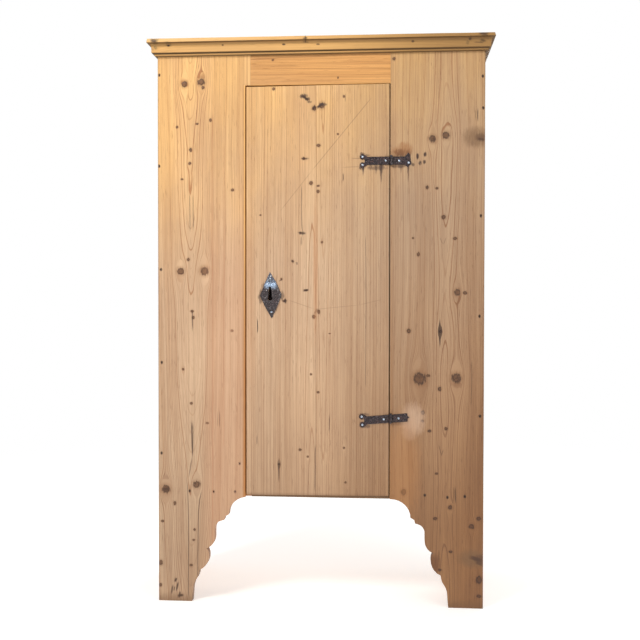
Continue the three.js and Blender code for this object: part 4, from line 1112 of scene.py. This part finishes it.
def cornice_wear(f, wood, ragged):
    """Painted shade in the hollow, the quirk and along the foot, painted light on the fillet towards the
    left, darker to the right, and a crack through the middle knot.
    """
    wood = f.blend(0.4, wood, CORNICE_GOLD)
    # painted shade: the upper part of the cove, under the fillet, darkened
    cove_painted_shade = f.ramp(f.z + ragged * 0.001, COVE_FOOT + 3 * MM, COVE_FOOT + 14 * MM)
    cove_painted_shade = cove_painted_shade * (1 - f.ramp(f.z, FILLET_FOOT - 1 * MM, FILLET_FOOT + 0.5 * MM))
    wood = f.blend(cove_painted_shade * 0.6, wood, CORNICE_COVE_SHADE)
    # painted shade: a dark line along the quirk under the band
    quirk = (1 - f.ramp((f.z - BAND_FOOT - 0.2 * MM).size(), 0.8 * MM, 3.4 * MM)) * 0.9
    wood = f.blend(quirk, wood, QUIRK_SHADE)
    lip = (1 - f.ramp((f.z - FILLET_FOOT + 0.5 * MM).size(), 0.6 * MM, 2.2 * MM)) * 0.75
    wood = f.blend(lip, wood, LIP_SHADOW)
    # painted shade: dark along the cornice's foot
    foot = (1 - f.ramp(f.z, CORNICE_FOOT, CORNICE_FOOT + 4 * MM)) * 0.85
    wood = f.blend(foot, wood, CORNICE_FOOT_SHADE)
    browned = f.ramp(f.x, -0.1, 0.6) * 0.5
    wood = f.blend(browned, wood, CORNICE_BROWN)
    wood = f.blend(f.ramp(f.x, -0.05, 0.45) * 0.8, wood, CORNICE_SHADE, "MULTIPLY")
    # painted light: the fillet paler towards the left
    on_fillet = f.ramp(f.z, FILLET_FOOT - 0.5 * MM, FILLET_FOOT + 2 * MM)
    fillet_painted_light = (1 - f.ramp(f.x, -0.56, 0.0)) * on_fillet * 0.3
    wood = f.blend(fillet_painted_light, wood, CORNICE_PAINTED_LIGHT)
    crack = 1 - f.ramp((f.x + 42.5 * MM + ragged * 0.0006).size(), 0.6 * MM, 1.8 * MM)
    crack = crack * f.ramp(f.z, COVE_FOOT + 6 * MM, COVE_FOOT + 12 * MM)
    wood = f.blend(crack * 0.8, wood, CRACK)
    wood = smears(f, wood, CORNICE_SCUFFS, KNOT_RIM, ragged)
    return f.blend(stain_mask(f, f.z, f.x, CORNICE_KNOTS, ragged * 0.5), wood, KNOT_RIM)


def knocked_corner(piece):
    """The top corner on the hinge side has been knocked off, and the lock-side end is chipped."""
    edit(piece)
    for side, inwards, down in [(1, 3.0, 3.2), (-1, 1.8, 1.2)]:
        choose(piece, "VERT", lambda corner: (
            corner.co.x * side > cad_high.x - 4 * MM and corner.co.z > CORNICE_TOP - 1 * MM
            and corner.co.y < cad_low.y + 4 * MM))
        bpy.ops.transform.translate(value=(-side * inwards * MM, inwards * MM, -down * MM))
    leave_edit()


def build_cornice():
    """The moulding, run in one length along the front and two returns, mitred at the corners."""
    finish = old_pine("pine_cornice", CORNICE, cornice_wear)
    return_board = Board(
        "yzx", heart=1768, depth=60, lean=0.01, depth_at=-0.557, patina="warm",
        knots=[(1819, -150, 6)], pins=[(1800, 20, 3), (1820, 160, 3)],
    )
    return_finish = old_pine("pine_cornice_return", return_board, cornice_wear)
    for node, own_finish in [
        ("cornice_front", finish), ("cornice_left_return", return_finish),
        ("cornice_right_return", return_finish),
    ]:
        worn_board(
            node, node + "_moulding", "case", "cornice_pine", own_finish, None, 0.6 * MM, 0.8 * MM, 30 * MM,
            knocked_corner)


# ---- Nails ----------------------------------------------------------------------------------

HEAD_RADIUS = 4.7 * MM
HEAD_RIM = 1.0 * MM
HEAD_RISE = 3.4 * MM
SHANK_INSET = 3.2 * MM
SHANK_LENGTH = 10.5 * MM


def dome_nail_model():
    """A hand-forged nail, pointing backwards from the origin: faceted dome, short square shank."""
    bpy.ops.object.select_all(action="DESELECT")
    bpy.ops.mesh.primitive_cylinder_add(
        vertices=12, radius=HEAD_RADIUS, depth=HEAD_RIM, location=(0, -HEAD_RIM / 2, 0),
        rotation=(math.pi / 2, 0, 0),
    )
    nail = bpy.context.active_object
    settle(nail)
    edit(nail)
    choose(nail, "FACE", lambda face: face.normal.y < -0.9)
    for shrink, rise in [(0.84, 1.0), (0.74, 0.85), (0.55, 0.5)]:
        bpy.ops.mesh.extrude_region_move(TRANSFORM_OT_translate={"value": (0, -rise * MM, 0)})
        bpy.ops.transform.resize(value=(shrink, 1, shrink))
    choose(nail, "FACE", lambda face: face.normal.y > 0.9)
    bpy.ops.mesh.inset(thickness=SHANK_INSET)
    bpy.ops.mesh.extrude_region_move(TRANSFORM_OT_translate={"value": (0, SHANK_LENGTH, 0)})
    bpy.ops.transform.resize(value=(0.4, 1, 0.4))
    choose(nail, "EDGE", lambda edge: is_corner(edge, 0.9) and edge.verts[0].co.y < NEAR)
    bpy.ops.mesh.bevel(offset=0.3 * MM, segments=2, affect="EDGES")
    leave_edit()
    use(nail, "SUBSURF", levels=1, render_levels=1)
    return nail


def build_dome_nails():
    """One nail, copied to each place in the straps and the lock plate, each knocked a little askew."""
    model = dome_nail_model()
    dents = clouds("nail_dents", 0.004)
    finish = forged_iron("nail_heads", bright=0.3, rust=0.2, shine=dome_painted_highlight, polish=1.0)
    names = [name for name in sorted(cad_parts) if "_nail_" in name]
    for number, node in enumerate(names):
        low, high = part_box(node)
        nail = duplicate(model, node + "_forged")
        nail.rotation_euler = (0, number * 0.7, 0)
        nail.location = ((low.x + high.x) / 2, low.y + HEAD_RISE, (low.z + high.z) / 2)
        settle(nail)
        use(nail, "DISPLACE", texture=dents, texture_coords="GLOBAL", strength=0.0002, mid_level=0.5)
        dress(nail, "case" if "frame" in node else "door", "nail_iron", finish, 60)
        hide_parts(node)
    throw_away(model)


def clout_head(place, way, number, size=3.6):
    """A cut nail's flat head, nearly flush, facing the way given."""
    bpy.ops.object.select_all(action="DESELECT")
    bpy.ops.mesh.primitive_cylinder_add(vertices=7, radius=size * MM, depth=3 * MM)
    head = bpy.context.active_object
    edit(head)
    choose(head, "FACE", lambda face: face.normal.z > 0.9)
    bpy.ops.mesh.inset(thickness=1.1 * MM)
    bpy.ops.transform.translate(value=(0, 0, 0.35 * MM))
    leave_edit()
    head.scale = (1.0, 0.8, 1.0)
    head.rotation_euler = (0, 0, number * 2.1)
    settle(head)
    head.rotation_euler = Vector(way).to_track_quat("Z", "Y").to_euler()
    head.location = Vector(place) * MM - Vector(way) * 0.8 * MM
    settle(head)
    return head


def build_case_nails():
    """The nails that hold the case together, driven from the back, the sides, the top and the front."""
    draw = random.Random(5)
    finish = forged_iron("cut_nails", bright=0.1, rust=0.9)
    back, side_face, top = cad_high.y / MM, RIGHT_SIDE / MM, CORNICE_TOP / MM
    in_pit = FACE / MM + 1.4
    groups = {"back": [], "sides": [], "top": [], "front": []}
    for board in range(5):
        for z in (354, 1509, 1795):
            for x in (-472, -372):
                at = x + board * 211 + draw.uniform(-8, 8)
                groups["back"].append(((at, back, z + draw.uniform(-4, 4)), (0, 1, 0)))
    for side in (-1, 1):
        for y in (-140, -50, 60, 160):
            for z in (327, 354, 1483, 1509):
                place = (side * side_face, y + draw.uniform(-9, 9), z + draw.uniform(-4, 4))
                groups["sides"].append((place, (side, 0, 0)))
    over_rail, over_sides = -196, 517
    for x in (-over_sides, -200, 140, over_sides):
        for y in (over_rail, -70, 70, 210):
            if abs(x) == over_sides or y == over_rail:
                groups["top"].append(((x, y + draw.uniform(-8, 8), top), (0, 0, 1)))
    for board in (LEFT_STILE, RIGHT_STILE):
        for x, z in board.nails:
            groups["front"].append(((x, in_pit, z), (0, -1, 0)))
    for group, places in groups.items():
        size = 1.5 if group == "front" else 3.4
        heads = [clout_head(place, way, number, size) for number, (place, way) in enumerate(places)]
        nails = join(heads, group + "_nails")
        dress(nails, "case", "nail_iron", finish)


# ---- Ironwork -------------------------------------------------------------------------------

KNUCKLE_KEPT = 6 * MM       # so near a pin, a strap is left true


def hammered(node, name, body, finish, axis=None, voxel=0.0007, strength=0.0007):
    """A forged plate: the frame's shape, softened all over and beaten, but true round its pin."""
    piece = copy_of(node, name)
    use(piece, "REMESH", mode="VOXEL", voxel_size=voxel)
    beaten = piece.vertex_groups.new(name="beaten")
    for corner in piece.data.vertices:
        share = 1.0
        if axis is not None:
            from_pin = math.hypot(corner.co.x - axis[0], corner.co.y - axis[1])
            share = min(1.0, max(0.0, from_pin / KNUCKLE_KEPT - 1))
        beaten.add([corner.index], share, "REPLACE")
    use(piece, "SMOOTH", factor=0.5, iterations=2, vertex_group="beaten")
    use(
        piece, "DISPLACE", texture=HAMMER_MARKS, texture_coords="GLOBAL", strength=strength,
        mid_level=0.55, vertex_group="beaten",
    )
    dress(piece, body, "forged_iron", finish, 50)
    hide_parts(node)


def tidy_iron(node, name, body, finish, soft=0.0004):
    """A filed part of the lock or hinge: the frame's shape with eased edges."""
    piece = copy_of(node, name)
    edit(piece)
    choose(piece, "EDGE", is_corner)
    bpy.ops.mesh.bevel(offset=soft, segments=2, affect="EDGES", clamp_overlap=True)
    leave_edit()
    dress(piece, body, "forged_iron", finish, 40)
    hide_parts(node)


def build_hinges():
    finish = forged_iron("strap_iron", bright=0.2, rust=0.5, polish=0.15)
    for level in ("upper", "lower"):
        low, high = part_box(level + "_hinge_pin")
        axis = ((low.x + high.x) / 2, (low.y + high.y) / 2)
        hammered(level + "_hinge_door_leaf", level + "_door_strap", "door", finish, axis)
        hammered(level + "_hinge_frame_leaf", level + "_frame_strap", "case", finish, axis)
        tidy_iron(level + "_hinge_pin", level + "_pin_forged", "case", finish)


def build_escutcheon():
    """The lock plate: a crowned diamond, with a painted bluish-white reflection on its upper half."""
    low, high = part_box("escutcheon")

    # where the painted reflection lies: the plate's upper half, near its middle
    def painted_glint(f):
        up = f.ramp(f.z, low.z + 92 * MM, low.z + 108 * MM)
        up = up * (1 - f.ramp(f.z, low.z + 114 * MM, low.z + 128 * MM) * 0.8)
        from_middle = (f.x - (low.x + high.x) / 2).size()
        return up * (1 - f.ramp(from_middle, 12 * MM, 24 * MM))

    finish = forged_iron("plate_iron", bright=0.30, rust=0.15, shine=painted_glint, polish=0.25)
    hammered("escutcheon", "escutcheon_plate", "door", finish, None, 0.0008, 0.0026)


def build_lock():
    """The rim lock behind the door: case with riveted corners, post, spring, bolt and keeper."""
    finish = forged_iron("lock_iron", bright=0.12, rust=0.6)
    tidy_iron("lock_case", "lock_case_forged", "door", finish, 0.0007)
    tidy_iron("lock_post", "lock_post_filed", "door", finish, 0.0003)
    tidy_iron("lock_spring", "lock_spring_forged", "door", finish, 0.0002)
    tidy_iron("lock_bolt", "lock_bolt_filed", "bolt", finish, 0.0004)
    tidy_iron("lock_keeper", "lock_keeper_filed", "case", finish, 0.0003)
    low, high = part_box("lock_case")
    rivets = []
    for number, (x, z) in enumerate([(8, 8), (102, 8), (8, 91), (102, 91), (55, 50)]):
        place = (low.x / MM + x, high.y / MM - 0.2, low.z / MM + z)
        rivets.append(clout_head(place, (0, 1, 0), number, 3.0))
    dress(join(rivets, "lock_rivets"), "door", "nail_iron", finish)


# ---- Floor, light and camera ----------------------------------------------------------------

WHITE = (1.0, 1.0, 1.0, 1.0)
FLOOR_REACH = 6.0
FLOOR_FADE = (0.9, 3.6)     # the floor thins out between these distances
DOME_REACH = 40.0
WORLD_COLOUR = (1.0, 0.99, 0.98, 1.0)
WORLD_STRENGTH = 0.54
LAMPS = [                   # name, place, aim, width, watts, colour
    ("key", (-2.2, -3.0, 4.2), (-0.1, -0.2, 1.3), 1.4, 120.0, (1.0, 0.97, 0.92)),
    ("fill", (2.6, -2.6, 1.4), (0.1, -0.2, 0.9), 2.0, 30.0, (1.0, 0.98, 0.96)),
    ("back", (1.6, 3.4, 3.0), (0.0, 0.2, 1.0), 2.0, 70.0, (1.0, 0.99, 0.97)),
]
EYE = (0.2373, FACE - 3.0, 0.9864)
TURNED = 0.07794            # radians to the left
DIPPED = -0.02093           # up from level
ROLLED = 0.00108
LENS = 52.5
FILM_WIDTH = 36.0


def studio_white(name, grey, shine, glow):
    """Matt white that gives off some light of its own."""
    f = Finish(name)
    f.set("Base Color", (grey, grey, grey, 1.0))
    f.set("Roughness", 0.8)
    f.set("Specular IOR Level", shine)
    f.set("Emission Color", WHITE)
    f.set("Emission Strength", glow)
    return f


def floor():
    """A pale floor that thins out to nothing."""
    bpy.ops.object.select_all(action="DESELECT")
    bpy.ops.mesh.primitive_circle_add(
        vertices=96, radius=FLOOR_REACH, fill_type="NGON", location=(0, 0, 0))
    ground = bpy.context.active_object
    ground.name = "studio_floor"
    f = studio_white("studio_floor", 0.80, 0.1, 0.42)
    reach = (f.x * f.x + f.y * f.y).root()
    f.set("Alpha", 1 - f.ramp(reach, *FLOOR_FADE))
    ground.data.materials.append(f.material)


def backdrop():
    """A white dome that only the camera sees."""
    bpy.ops.object.select_all(action="DESELECT")
    bpy.ops.mesh.primitive_uv_sphere_add(segments=32, ring_count=16, radius=DOME_REACH)
    dome = bpy.context.active_object
    dome.name = "white_dome"
    for ray in ("diffuse", "glossy", "transmission", "shadow"):
        setattr(dome, "visible_" + ray, False)
    dome.data.materials.append(studio_white("white_dome", 0.0, 0.0, 1.0).material)


def lamp(name, place, aim, width, watts, colour):
    """A round soft lamp."""
    data = bpy.data.lights.new(name, "AREA")
    data.shape = "DISK"
    data.size = width
    data.energy = watts
    data.color = colour
    light = bpy.data.objects.new(name, data)
    bpy.context.scene.collection.objects.link(light)
    light.location = place
    light.rotation_euler = (Vector(aim) - Vector(place)).to_track_quat("-Z", "Y").to_euler()


def studio():
    """Even white light all round, with a lamp high on the left, a weak one right and one behind."""
    world = bpy.data.worlds.new("studio")
    world.use_nodes = True
    background = world.node_tree.nodes["Background"]
    background.inputs["Color"].default_value = WORLD_COLOUR
    background.inputs["Strength"].default_value = WORLD_STRENGTH
    bpy.context.scene.world = world
    for setting in LAMPS:
        lamp(*setting)
    bpy.context.scene.view_settings.view_transform = "Standard"


def camera():
    """Stands a little right of the middle at chest height, turned back towards it."""
    data = bpy.data.cameras.new("camera")
    data.lens = LENS
    data.sensor_width = FILM_WIDTH
    view = bpy.data.objects.new("camera", data)
    bpy.context.scene.collection.objects.link(view)
    view.matrix_world = (
        Matrix.Translation(EYE)
        @ Matrix.Rotation(TURNED, 4, "Z")
        @ Matrix.Rotation(math.pi / 2 + DIPPED, 4, "X")
        @ Matrix.Rotation(ROLLED, 4, "Z")
    )
    bpy.context.scene.camera = view


build_front()
build_case()
build_ledges()
build_pegs()
build_cornice()
build_hinges()
build_escutcheon()
build_lock()
build_dome_nails()
build_case_nails()
floor()
backdrop()
studio()
camera()
